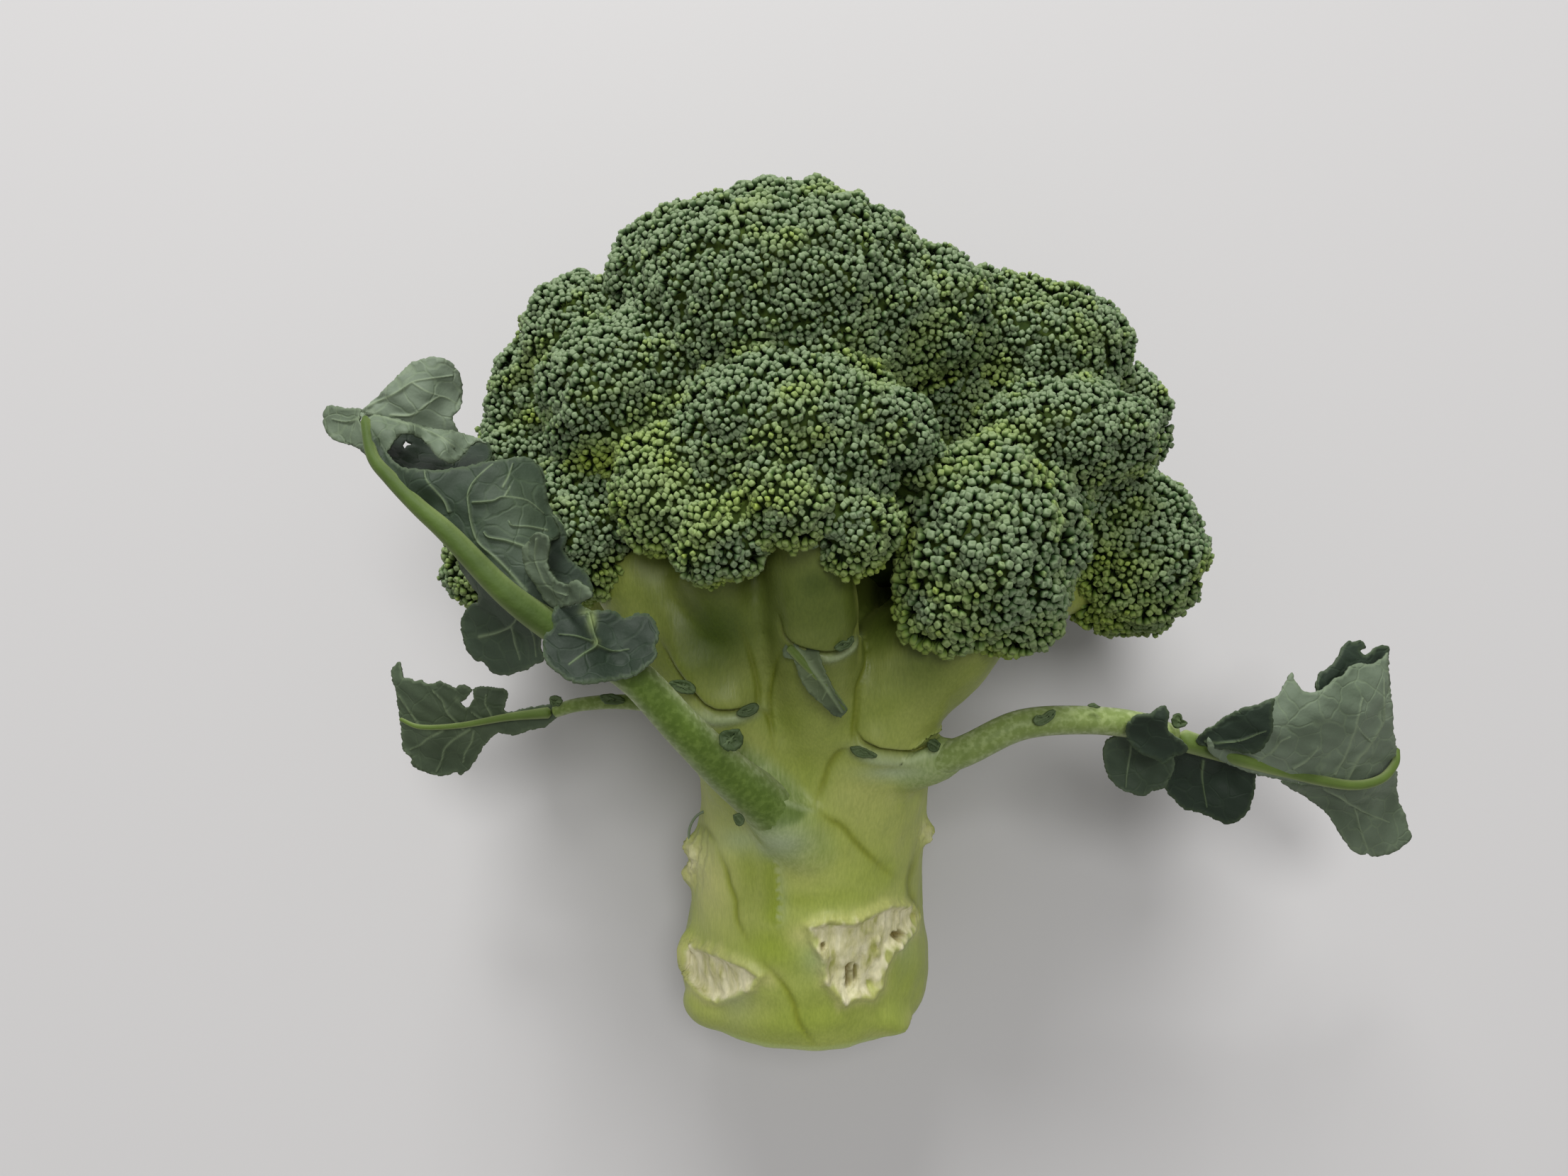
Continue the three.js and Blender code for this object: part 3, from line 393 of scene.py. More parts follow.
RIGHT_LOBES = [
    {"light_and_shade_tone": 0.1,
     "root": [(98, -6, 63), (102, -3, 63), (106, 2, 62), (112, 6, 60)],
     "edge": [(104, 4, 62), (109, 9, 60), (115, 13, 58), (122, 13, 56)], "bow": 1,
     "outline": [
         (1855, 972), (1858, 957), (1862, 949), (1879, 937), (1896, 909), (1908, 906), (1920, 904),
         (1925, 913), (1918, 919), (1924, 924), (1933, 919), (1939, 913), (1956, 911), (1958, 923),
         (1953, 940), (1934, 950), (1916, 950), (1902, 955), (1894, 965), (1882, 975), (1868, 985)],
     },
    {"light_and_shade_tone": 0.92,
     "root": [(77, -9, 62), (88, -12.5, 61), (104, -16.5, 58), (122, -13, 52)],
     "edge": [(81, -5, 64), (96, 3.5, 66), (110, 10, 64), (123, 10.5, 58)], "bow": 4,
     "outline": [
         (1702, 1052), (1704, 1036), (1714, 1026), (1730, 1014), (1753, 1002), (1774, 995),
         (1795, 985), (1803, 981), (1811, 966), (1821, 949), (1827, 964), (1839, 976), (1855, 976),
         (1868, 969), (1882, 957), (1894, 953), (1902, 941), (1915, 936), (1934, 937), (1953, 925),
         (1957, 921), (1958, 937), (1960, 966), (1963, 1000), (1965, 1038), (1969, 1058),
         (1966, 1079), (1953, 1091), (1934, 1101), (1896, 1109), (1860, 1107), (1824, 1102),
         (1786, 1095), (1752, 1085), (1726, 1074), (1708, 1062)],
     "veins": [([(1770, 1075), (1795, 1057), (1807, 1043), (1819, 1038)], 2.4),
               ([(1896, 1107), (1913, 1071), (1929, 1052), (1949, 1019), (1951, 990), (1949, 957)], 3),
               ([(1824, 1083), (1843, 1071), (1858, 1052)], 2.2),
               ([(1882, 1091), (1896, 1062), (1910, 1024), (1920, 985)], 2.6),
               ([(1934, 1047), (1920, 1033), (1910, 1019)], 1.8)]},
    {"light_and_shade_tone": 0.12,
     "root": [(77, -9, 64), (84, -8, 67), (92, -6, 69), (98, -2, 69)],
     "edge": [(83, -3, 69), (89, 2, 71), (96, 5, 71), (101, 5.5, 69)], "bow": 1,
     "outline": [
         (1687, 1045), (1697, 1032), (1712, 1023), (1728, 1011), (1752, 999), (1774, 993),
         (1794, 985), (1798, 988), (1794, 1004), (1795, 1024), (1788, 1045), (1774, 1061),
         (1757, 1062), (1728, 1056), (1702, 1053)],
     "veins": [([(1700, 1045), (1745, 1045), (1785, 1030)], 2)]},
    {"light_and_shade_tone": 0.78,
     "root": [(100, -15, 58), (108, -17, 57), (115, -17, 56), (122, -13, 52)],
     "edge": [(111, -30, 46), (114, -34, 43), (121, -34, 42), (127, -31, 42)], "bow": 3,
     "outline": [
         (1807, 1102), (1824, 1113), (1841, 1123), (1858, 1135), (1872, 1148), (1883, 1165),
         (1891, 1179), (1901, 1192), (1910, 1202), (1922, 1205), (1928, 1203), (1935, 1208),
         (1953, 1206), (1968, 1200), (1981, 1192), (1990, 1182), (1986, 1167), (1980, 1148),
         (1972, 1129), (1969, 1107), (1968, 1086), (1953, 1094), (1934, 1103), (1896, 1110),
         (1860, 1108), (1824, 1103)],
     "veins": [([(1867, 1110), (1891, 1124), (1920, 1143), (1958, 1160)], 2.6),
               ([(1910, 1140), (1920, 1177), (1929, 1201)], 1.8)]},
    {"light_and_shade_tone": 0.15,
     "root": [(66, -6.5, 69), (70, -7.5, 70), (75, -9, 69), (80, -10.5, 66)],
     "edge": [(63, -2, 70), (68, -1, 72), (74, -4, 71), (78, -10, 68)], "bow": 1.5,
     "more": [(62, -6, 68), (66, -10, 68), (71, -13, 67)],
     "outline": [
         (1588, 1028), (1592, 1018), (1604, 1008), (1623, 1005), (1639, 995), (1648, 1005),
         (1646, 1024), (1654, 1036), (1665, 1043), (1675, 1053), (1669, 1063), (1657, 1067),
         (1643, 1078), (1628, 1070), (1606, 1061), (1592, 1045)]},
    {"light_and_shade_tone": 0.45,
     "root": [(60, -6, 64), (63, -6.5, 64), (67, -7.5, 63), (70, -8.5, 62)],
     "edge": [(53, -11, 60), (55, -17, 57), (61, -20, 56), (67, -17, 58)], "bow": 1.5,
     "outline": [
         (1556, 1069), (1557, 1055), (1564, 1042), (1585, 1036), (1607, 1040), (1630, 1050),
         (1645, 1060), (1656, 1070), (1656, 1083), (1650, 1098), (1641, 1112), (1628, 1115),
         (1611, 1122), (1592, 1117), (1578, 1111), (1563, 1095)],
     "veins": [([(1595, 1050), (1590, 1085), (1588, 1110)], 2)]},
    {"light_and_shade_tone": 0.1,
     "root": [(72, -9, 61), (77, -10.5, 60), (82, -12, 60), (87, -13, 59)],
     "edge": [(68, -20, 54), (75, -26, 52), (82, -26, 51), (88, -20, 54)], "bow": 2,
     "outline": [
         (1643, 1111), (1647, 1092), (1652, 1070), (1664, 1052), (1690, 1054), (1719, 1062),
         (1743, 1070), (1769, 1082), (1770, 1114), (1766, 1129), (1762, 1141), (1749, 1155),
         (1731, 1163), (1717, 1157), (1702, 1150), (1683, 1144), (1670, 1141), (1657, 1129)],
     "veins": [([(1697, 1071), (1695, 1095), (1702, 1138)], 2.4)]},
]
SMALL_LOBES = [
    {"light_and_shade_tone": 0.45, "pale": [(650, 1020, 160, 110, 0.09)],
     "root": [(-52, -4.5, 49), (-60, -5.5, 48), (-69, -6.5, 47), (-78.5, -5, 45)],
     "edge": [(-56, 0.5, 50), (-62, 3, 51), (-72, 4, 50), (-81, 6, 47)], "bow": -1,
     "more": [(-55, -10, 47), (-63, -15, 44), (-71, -18, 42), (-80, -13, 42)],
     "outline": [
         (553, 952), (555, 942), (564, 934), (568, 944), (569, 954), (574, 956), (581, 958),
         (586, 961), (594, 959), (601, 964), (611, 964), (619, 961), (628, 964), (636, 968),
         (644, 970), (649, 966), (655, 965), (663, 970), (667, 974), (662, 979), (658, 986),
         (647, 989), (644, 984), (649, 989), (655, 996), (658, 999), (663, 994), (668, 986),
         (669, 971), (678, 969), (686, 968), (697, 970), (708, 971), (716, 975), (714, 989),
         (711, 1002), (719, 1005), (735, 1001), (754, 997), (772, 994), (790, 991), (794, 998),
         (792, 1007), (783, 1014), (769, 1025), (751, 1029), (729, 1036), (715, 1035), (702, 1034),
         (692, 1042), (683, 1052), (676, 1064), (669, 1075), (663, 1084), (656, 1089), (651, 1093),
         (644, 1089), (634, 1092), (619, 1094), (604, 1090), (594, 1086), (582, 1079), (580, 1068),
         (570, 1057), (568, 1039), (566, 1018), (562, 996), (560, 975)],
     "veins": [
         ([(594, 1023), (585, 1011), (574, 996), (565, 982)], 2),
         ([(654, 1028), (640, 1014), (631, 1004), (624, 989), (611, 973)], 2.2),
         ([(694, 1018), (676, 1012), (665, 1004)], 2),
         ([(697, 1016), (692, 1004), (685, 993), (686, 979)], 2),
         ([(626, 1029), (608, 1038), (594, 1050), (579, 1057)], 2.2),
         ([(663, 1029), (647, 1038), (629, 1054), (624, 1071), (615, 1089)], 2.4),
         ([(668, 1034), (666, 1046), (658, 1059), (654, 1075)], 2)]},
]
FORK_LOBES = [
    {"light_and_shade_tone": 0.42,
     "root": [(0.9, 8.4, 78.5), (4, 5, 79.5), (8, 1, 79), (11.3, -3.1, 76)],
     "edge": [(4.6, 9, 79), (7.1, 5.5, 80.5), (8.9, 0.5, 80), (11.7, -2.8, 76.5)], "bow": 0.4,
     "more": [(1.1, 6.7, 78.5), (2.2, 4.6, 79), (5.6, -0.4, 78.5), (9.7, -4.5, 75.5)],
     "outline": [
         (1107, 911), (1118, 905), (1133, 903), (1149, 910), (1156, 922), (1161, 938), (1168, 955),
         (1174, 968), (1182, 983), (1192, 996), (1194, 1003), (1184, 1011), (1172, 1006),
         (1160, 992), (1146, 981), (1132, 963), (1125, 944), (1119, 931), (1106, 926)],
     "pale": [(1145, 950, 60, 70, 0.28)],
     "veins": [([(1122, 910), (1142, 938), (1162, 965), (1187, 1003)], 7),
               ([(1128, 922), (1122, 930)], 2), ([(1136, 934), (1148, 932)], 2),
               ([(1146, 950), (1138, 956)], 2), ([(1154, 958), (1166, 960)], 2),
               ([(1166, 975), (1160, 986)], 2)]},
]

# Small leaflets on the ledges and the leaf stalks: outline in the photograph, height above what
# they grow on, and tone, which paints their light and shade with their colour.
LEAFLETS = [
    ([(1039, 1006), (1048, 999), (1060, 996), (1069, 996), (1066, 1002), (1056, 1008),
      (1044, 1010)], 1, 0.55),
    ([(1199, 1055), (1209, 1054), (1222, 1057), (1234, 1062), (1238, 1067), (1226, 1068),
      (1209, 1065)], 1, 0.55),
    ([(1309, 1048), (1315, 1043), (1322, 1045), (1326, 1052), (1321, 1058), (1313, 1057)], 2, 0.35),
    ([(944, 962), (955, 959), (970, 961), (981, 971), (980, 977), (965, 978), (951, 973)], 3, 0.4),
    ([(1016, 1035), (1027, 1029), (1042, 1028), (1048, 1038), (1045, 1053), (1033, 1060),
      (1021, 1057), (1015, 1048)], 3, 0.25),
    ([(1458, 1018), (1462, 1010), (1470, 1012), (1486, 1003), (1489, 1007), (1480, 1018),
      (1468, 1022)], 0.6, 0.62),
    ([(1534, 995), (1543, 991), (1553, 997), (1546, 1000)], 0.6, 0.62),
    ([(1178, 914), (1188, 908), (1197, 905), (1204, 897), (1204, 904), (1194, 913),
      (1182, 917)], 0.8, 0.5),
    ([(1036, 1150), (1042, 1149), (1048, 1157), (1045, 1163), (1039, 1158)], 0.8, 0.5),
    ([(1654, 1012), (1663, 1008), (1668, 1016), (1676, 1020), (1668, 1026), (1657, 1024)], 1, 0.3),
    ([(774, 990), (776, 982), (786, 981), (794, 988), (790, 996), (779, 997)], 1.2, 0.55),
    ([(846, 981), (858, 979), (874, 983), (882, 990), (868, 993), (852, 990)], 0.7, 0.55),
]
LEAFLET_CUP = ((1, 0.45), (0.75, 0.2), (0.5, 0.05), (0.25, 0))      # share of the way out, rise
LEAFLET_HOSTS = ("stalk_skin", "stem_left", "stem_right", "stem_small")
# A leaflet's base is the top of its host's nearest points, and of those this many pixels farther.
HOST_POINTS = 30
HOST_REACH = 4
# A curled thread at the torn edge: x and y in the photograph, and height in millimetres.
THREAD = [(1000, 1144, 42), (990, 1146, 42), (980, 1154, 40), (973, 1168, 39), (972, 1182, 38),
          (975, 1192, 38)]
THREAD_RADIUS = 0.28


# ------------------------------------------------------------------ meshes
def make_object(name, verts, faces, material):
    """A smooth mesh object from vertices in head millimetres and equal-length faces."""
    verts = (np.asarray(verts, float) - HEAD_CENTRE) * MM
    faces = np.asarray(faces, np.int32)
    starts = np.arange(0, faces.size, faces.shape[1], dtype=np.int32)
    mesh = bpy.data.meshes.new(name)
    mesh.vertices.add(len(verts))
    mesh.vertices.foreach_set("co", verts.astype(np.float32).ravel())
    mesh.loops.add(faces.size)
    mesh.loops.foreach_set("vertex_index", faces.ravel())
    mesh.polygons.add(len(faces))
    mesh.polygons.foreach_set("loop_start", starts)
    mesh.polygons.foreach_set("use_smooth", np.ones(len(faces), bool))
    mesh.update(calc_edges=True)
    mesh.materials.append(material)
    thing = bpy.data.objects.new(name, mesh)
    bpy.context.scene.collection.objects.link(thing)
    return thing


def dress(piece, slot, *nodes):
    """Fixes a piece to the head in place of the CAD nodes that it stands for. The slot is not used."""
    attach(piece, BODY)
    if nodes:
        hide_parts(*nodes)


def paint(thing, name, values):
    """Stores four numbers a vertex as a colour, for the material to read."""
    layer = thing.data.attributes.new(name, "FLOAT_COLOR", "POINT")
    layer.data.foreach_set("color", np.asarray(values, np.float32).ravel())


def merged(parts):
    """Several meshes as one, left as they are."""
    verts, faces, base = [], [], 0
    for v, f in parts:
        verts.append(v)
        faces.append(np.asarray(f) + base)
        base += len(v)
    return np.concatenate(verts), np.concatenate(faces)


def remeshed(parts, voxel, smoothing):
    """Melts overlapping closed meshes into one skin of small quads."""
    verts, faces = merged(parts)
    rough = make_object("rough", verts, faces, bpy.data.materials.new("rough"))
    skin = rough.modifiers.new("skin", "REMESH")
    skin.mode = "VOXEL"
    skin.voxel_size = voxel * MM
    soften = rough.modifiers.new("soften", "SMOOTH")
    soften.factor = 0.5
    soften.iterations = smoothing
    done = rough.evaluated_get(bpy.context.evaluated_depsgraph_get()).to_mesh()
    points = np.empty(len(done.vertices) * 3)
    done.vertices.foreach_get("co", points)
    corners = np.empty(len(done.loops), np.int32)
    done.loops.foreach_get("vertex_index", corners)
    bpy.data.objects.remove(rough)
    return points.reshape(-1, 3) / MM + HEAD_CENTRE, corners.reshape(-1, 4)


def vertex_normals(verts, faces):
    """The outward direction at each vertex, averaged over the faces round it."""
    a, b, c = verts[faces[:, 0]], verts[faces[:, 1]], verts[faces[:, 2]]
    flat = np.cross(b - a, c - a)
    total = np.zeros_like(verts)
    for column in range(faces.shape[1]):
        np.add.at(total, faces[:, column], flat)
    return unit(total)


def halved_edges(verts, faces, wanted):
    """Adds a point at the middle of each edge that is longer than wanted there.

    Also says which point each triangle has on its edges ab, bc and ca: -1 where there is none.
    """
    edges = np.sort(np.concatenate([faces[:, [0, 1]], faces[:, [1, 2]], faces[:, [2, 0]]]))
    pairs, index = np.unique(edges, axis=0, return_inverse=True)
    middles = verts[pairs].mean(axis=1)
    lengths = np.linalg.norm(verts[pairs[:, 0]] - verts[pairs[:, 1]], axis=1)
    split = lengths > wanted(middles)
    fresh = np.full(len(pairs), -1)
    fresh[split] = len(verts) + np.arange(split.sum())
    return np.vstack([verts, middles[split]]), fresh[index.reshape(3, -1).T]


def divided(faces, halves):
    """Cuts each triangle into 1, 2, 3 or 4 at the points on its edges.

    It is first turned so that its halved edges come first: ab, then bc, then ca.
    """
    cut = halves >= 0
    many = cut.sum(axis=1)
    shift = np.where(many == 1, cut.argmax(axis=1), 0)
    shift = np.where(many == 2, (cut.argmin(axis=1) + 1) % 3, shift)
    order = (np.arange(3)[None] + shift[:, None]) % 3
    a, b, c = np.take_along_axis(faces, order, axis=1).T
    ab, bc, ca = np.take_along_axis(halves, order, axis=1).T
    none, one, two, three = (many == number for number in range(4))
    pieces = [(a, b, c, none), (a, ab, c, one), (ab, b, c, one), (ab, b, bc, two),
              (a, ab, bc, two), (a, bc, c, two), (a, ab, ca, three), (ab, b, bc, three),
              (ca, bc, c, three), (ab, bc, ca, three)]
    return np.concatenate([np.stack([p[use], q[use], r[use]], axis=1)
                           for p, q, r, use in pieces])


def refined(verts, faces, wanted, rounds):
    """Halves the edges of a triangle mesh that are longer than wanted at their middles."""
    for _ in range(rounds):
        verts, halves = halved_edges(verts, faces, wanted)
        faces = divided(faces, halves)
    return verts, faces


def catmull_rom(a, b, c, d, share):
    """The place at a share of the way from b to c, on a smooth curve through a, b, c and d."""
    return 0.5 * (2 * b + (c - a) * share + (2 * a - 5 * b + 4 * c - d) * share ** 2
                  + (3 * b - a - 3 * c + d) * share ** 3)


def smooth_path(stations, count):
    """Samples a smooth curve through the stations, of any number of columns."""
    points = np.asarray(stations, float)
    points = np.vstack([2 * points[0] - points[1], points, 2 * points[-1] - points[-2]])
    t = np.linspace(0, len(stations) - 1, count)
    i = np.minimum(t.astype(int), len(stations) - 2)
    return catmull_rom(points[i], points[i + 1], points[i + 2], points[i + 3], (t - i)[:, None])


def rings_to_mesh(rings):
    """Closes a stack of rings into a solid, with a fan at each end."""
    count, sides = rings.shape[:2]
    verts = np.vstack([rings.reshape(-1, 3), rings[0].mean(axis=0), rings[-1].mean(axis=0)])
    faces = []
    for row in range(count - 1):
        for i in range(sides):
            a, b = row * sides + i, row * sides + (i + 1) % sides
            faces += [(a, b, b + sides), (a, b + sides, a + sides)]
    first, last = count * sides, count * sides + 1
    end = (count - 1) * sides
    for i in range(sides):
        j = (i + 1) % sides
        faces += [(first, j, i), (last, end + i, end + j)]
    return verts, np.array(faces)


def tube(stations, sides=24, count=40):
    """A limb of changing radius along a smooth path, with its ends rounded in."""
    path = smooth_path(stations, count)
    centre, radius = path[:, :3], path[:, 3].copy()
    radius[[0, -1]] *= 0.5
    heading = unit(np.gradient(centre, axis=0))
    side = unit(np.cross(heading, (0, 0, 1)))
    up = np.cross(side, heading)
    turn = (2 * math.pi * np.arange(sides) / sides)[None, :, None]
    spokes = np.cos(turn) * side[:, None] + np.sin(turn) * up[:, None]
    return rings_to_mesh(centre[:, None] + spokes * radius[:, None, None])


def lobe_body(lobe, columns=48, rows=24):
    """A closed ball in the shape of a lobe."""
    centre, radii = np.array(lobe[:3]), np.array(lobe[3:])
    verts = [centre + radii * (0, 0, 1)]
    for r in range(1, rows):
        tilt = math.pi * r / rows
        turn = 2 * math.pi * np.arange(columns) / columns
        ring = np.stack([np.sin(tilt) * np.cos(turn), np.sin(tilt) * np.sin(turn),
                         np.full(columns, math.cos(tilt))], axis=1)
        verts += list(centre + radii * ring)
    verts.append(centre - radii * (0, 0, 1))
    faces = []
    end = 1 + (rows - 2) * columns
    for c in range(columns):
        d = (c + 1) % columns
        faces += [(0, 1 + c, 1 + d), (len(verts) - 1, end + d, end + c)]
        for r in range(rows - 2):
            a, b = 1 + r * columns + c, 1 + r * columns + d
            faces += [(a, a + columns, b + columns), (a, b + columns, b)]
    return np.array(verts), np.array(faces)


def above_table(verts):
    """Lifts what would sink into the table."""
    verts[..., 2] = np.maximum(verts[..., 2], TABLE_GAP)
    return verts


# ------------------------------------------------------------------ places and soft values
def unit(vectors):
    """The same directions with a length of 1."""
    return vectors / np.maximum(np.linalg.norm(vectors, axis=-1, keepdims=True), 1e-9)


def smooth_step(value, low, high):
    """0 up to low, 1 from high on, and an even S between them."""
    t = np.clip((value - low) / (high - low), 0, 1)
    return t * t * (3 - 2 * t)


def mound(distance, width):
    """1 at no distance, falling smoothly to nothing past about two widths."""
    return np.exp(-(distance / width) ** 2)


def ripple(points, seed, scales=(26, 15, 9)):
    """A smooth wandering value between about -1 and 1, the same for the same place."""
    rng = np.random.default_rng(seed)
    value = np.zeros(len(points))
    for scale in scales:
        for _ in range(3):
            heading = unit(rng.normal(size=3))
            value += np.sin(points @ heading * 2 * math.pi / scale + rng.uniform(0, 6.28))
    return value / 3.2


def line_distance(points, line):
    """Distance of each point from a chain of straight segments."""
    best = np.full(len(points), 1e9)
    for a, b in zip(line[:-1], line[1:]):
        along = b - a
        t = np.clip(((points - a) @ along) / max(along @ along, 1e-9), 0, 1)
        best = np.minimum(best, np.linalg.norm(points - (a + t[:, None] * along), axis=1))
    return best


def inside_outline(points, outline):
    """Which points lie inside a closed outline, by counting crossings."""
    inside = np.zeros(len(points), bool)
    for (ax, ay), (bx, by) in zip(outline, np.roll(outline, -1, axis=0)):
        crosses = (ay > points[:, 1]) != (by > points[:, 1])
        with np.errstate(divide="ignore", invalid="ignore"):
            at = ax + (points[:, 1] - ay) * (bx - ax) / (by - ay)
        inside ^= crosses & (points[:, 0] < at)
    return inside


def closed(outline):
    """An outline with its first point again at its end."""
    return np.vstack([outline, outline[0]])


def closed_curve(points, step):
    """Rounds a closed outline and samples it about every step pixels."""
    points = np.asarray(points, float)
    ring = np.vstack([points[-1], points, points[0], points[1]])
    samples = []
    for a, b, c, d in zip(ring, ring[1:], ring[2:], ring[3:]):
        count = max(1, int(round(np.linalg.norm(c - b) / step)))
        samples.append(catmull_rom(a, b, c, d, (np.arange(count) / count)[:, None]))
    return np.concatenate(samples)


def outline_depth(pixels, outline):
    """Distance from a closed outline, positive inside it."""
    outline = np.asarray(outline, float)
    away = line_distance(pixels, closed(outline))
    return np.where(inside_outline(pixels, outline), away, -away)


def spots(pixels, places):
    """Soft round patches: middle x and y, half-width, half-height and strength of each."""
    total = np.zeros(len(pixels))
    for x, y, wide, high, strength in places:
        squared = ((pixels[:, 0] - x) / wide) ** 2 + ((pixels[:, 1] - y) / high) ** 2
        total = np.maximum(total, strength * np.exp(-squared))
    return total


def stroke(pixels, line, width):
    """The strength of a drawn line, which thins out towards both of its ends."""
    curve = smooth_path(line, 5 * len(line))
    low, high = curve.min(axis=0) - 3 * width, curve.max(axis=0) + 3 * width
    near = ((pixels > low) & (pixels < high)).all(axis=1)
    close = pixels[near]
    best = np.zeros(len(close))
    t = np.linspace(0, 1, len(curve))
    fade = np.minimum(1, 3.5 * np.minimum(t, 1 - t) + 0.05)
    for k in range(len(curve) - 1):
        best = np.maximum(best, fade[k] * mound(line_distance(close, curve[k:k + 2]), width))
    total = np.zeros(len(pixels))
    total[near] = best
    return total


def to_photo(points):
    """Where head millimetres land in the photograph's pixels."""
    tilt = math.radians(CAMERA_TILT)
    x, y, z = points[:, 0], points[:, 1], points[:, 2] - CAMERA_HEIGHT
    depth = y * math.sin(tilt) - z * math.cos(tilt)
    rise = y * math.cos(tilt) + z * math.sin(tilt)
    return np.stack([PHOTO_MIDDLE[0] + PHOTO_FOCAL * x / depth,
                     PHOTO_MIDDLE[1] - PHOTO_FOCAL * rise / depth], axis=1)


def from_photo(pixels, z):
    """Head millimetres of a photograph's pixels that lie at height z."""
    tilt = math.radians(CAMERA_TILT)
    across = (pixels[:, 0] - PHOTO_MIDDLE[0]) / PHOTO_FOCAL
    upward = (PHOTO_MIDDLE[1] - pixels[:, 1]) / PHOTO_FOCAL
    ray = np.stack([across, math.sin(tilt) + upward * math.cos(tilt),
                    -math.cos(tilt) + upward * math.sin(tilt)], axis=1)
    reach = (z - CAMERA_HEIGHT) / ray[:, 2]
    return np.array([0, 0, CAMERA_HEIGHT]) + ray * reach[:, None]


# ------------------------------------------------------------------ florets
def all_lobes():
    """Every lobe of every floret, in order."""
    return [lobe for group in FLORETS.values() for lobe in group]


def mean_radius(lobe):
    """The radius of a ball of the same volume."""
    return float(np.prod(lobe[3:]) ** (1 / 3))


def radial_gap(points, lobe):
    """Signed distance to a lobe's outline, measured along the line to its centre."""
    away = points - np.array(lobe[:3])
    scaled = np.linalg.norm(away / np.array(lobe[3:]), axis=1)
    return np.linalg.norm(away, axis=1) * (1 - 1 / np.maximum(scaled, 1e-6))


def melted_gap(points, lobes):
    """Distance to the joined lobes, with the creases between neighbours half filled."""
    gaps = np.array([radial_gap(points, lobe) for lobe in lobes])
    reach = np.array([min(MELT, 0.55 * mean_radius(lobe)) for lobe in lobes])
    nearest = gaps.argmin(axis=0)
    least = gaps.min(axis=0)
    span = np.minimum(reach[:, None], reach[nearest][None])
    fill = np.maximum(span - (gaps - least), 0) ** 2 / (4 * span)
    fill[nearest, np.arange(len(points))] = 0
    return least - fill.sum(axis=0), nearest


def melt(verts, lobes, rounds):
    """Moves a skin onto the melted outline of the lobes, along the steepest way."""
    step = 0.05
    for _ in range(rounds):
        gap, _ = melted_gap(verts, lobes)
        slope = np.stack([melted_gap(verts + step * axis, lobes)[0] - gap
                          for axis in np.eye(3)], axis=1) / step
        size = np.maximum((slope ** 2).sum(axis=1, keepdims=True), 0.3)
        verts = verts - np.clip(gap, -1, 1)[:, None] * slope / size
    return verts


def crown_surface():
    """One even skin over all the lobes, and which lobe each of its points belongs to."""
    lobes = all_lobes()
    verts, faces = remeshed([lobe_body(lobe) for lobe in lobes], CROWN_VOXEL, 4)
    verts, faces = remeshed([(melt(verts, lobes, 8), faces)], CROWN_VOXEL, 6)
    _, owner = melted_gap(verts, lobes)
    return verts, faces, owner


def scattered(verts, faces, count, rng):
    """Random points spread evenly over a skin of quads: places, normals, nearest vertex."""
    triangles = np.concatenate([faces[:, [0, 1, 2]], faces[:, [0, 2, 3]]])
    a, b, c = (verts[triangles[:, k]] for k in range(3))
    area = np.linalg.norm(np.cross(b - a, c - a), axis=1)
    chosen = rng.choice(len(triangles), count, p=area / area.sum())
    u, v = rng.uniform(size=(2, count, 1))
    u, v = np.where(u + v > 1, 1 - u, u), np.where(u + v > 1, 1 - v, v)
    normals = vertex_normals(verts, faces)[triangles[chosen]]
    places = a[chosen] + u * (b - a)[chosen] + v * (c - a)[chosen]
    normals = unit((1 - u - v) * normals[:, 0] + u * normals[:, 1] + v * normals[:, 2])
    return places, normals, triangles[chosen, 0]


def thinned(places, spacing):
    """Keeps points, in their order, that are at least their spacing from those kept before."""
    cells = np.floor(places / float(spacing.max())).astype(int)
    around = [(i, j, k) for i in (-1, 0, 1) for j in (-1, 0, 1) for k in (-1, 0, 1)]
    rows = places.tolist()
    grid, kept = {}, []
    for index, (i, j, k) in enumerate(cells.tolist()):
        x, y, z = rows[index]
        reach = spacing[index] ** 2
        close = (rows[other] for di, dj, dk in around
                 for other in grid.get((i + di, j + dj, k + dk), ()))
        if all((p - x) ** 2 + (q - y) ** 2 + (r - z) ** 2 >= reach for p, q, r in close):
            grid.setdefault((i, j, k), []).append(index)
            kept.append(index)
    return np.array(kept)


def nearest_seed(points, seeds):
    """The nearest seed to each point, and how far away it is."""
    tree = KDTree(len(seeds))
    for index, seed in enumerate(seeds):
        tree.insert(seed, index)
    tree.balance()
    found = [tree.find(point)[1:] for point in points]
    return np.array([one[0] for one in found]), np.array([one[1] for one in found])


def dome(distance, pitch, rise):
    """How far a point stands up, this far from the middle of a rounded mound."""
    return rise * np.maximum(1 - (distance / (0.6 * pitch)) ** 2, -0.9)


def in_branch(points):
    """Which points lie inside a branch of the stalk."""
    hit = np.zeros(len(points), bool)
    for stations in BRANCHES:
        for x, y, z, radius in smooth_path(stations, 24):
            hit |= ((points - (x, y, z)) ** 2).sum(axis=1) < (radius - 0.5) ** 2
    return hit


def growing_places(surface, rng):
    """Random places outside the branches and off the florets' inner sides, where buds can grow."""
    verts, faces, owner = surface
    places, normals, near = scattered(verts, faces, BUD_TRIES, rng)
    lobe_of = owner[near]
    centres = np.array([lobe[:3] for lobe in all_lobes()])[lobe_of]
    inner = (normals * unit(CROWN_MIDDLE - centres)).sum(axis=1) > BARE_CONE
    keep = ~inner & ~in_branch(places)
    return places[keep], normals[keep], lobe_of[keep], centres[keep]


def mound_middles(places, tries, pitch):
    """The middles of rounded mounds, chosen among the first places."""
    return places[thinned(places[:tries], np.full(tries, MOUND_PACKING * pitch))]


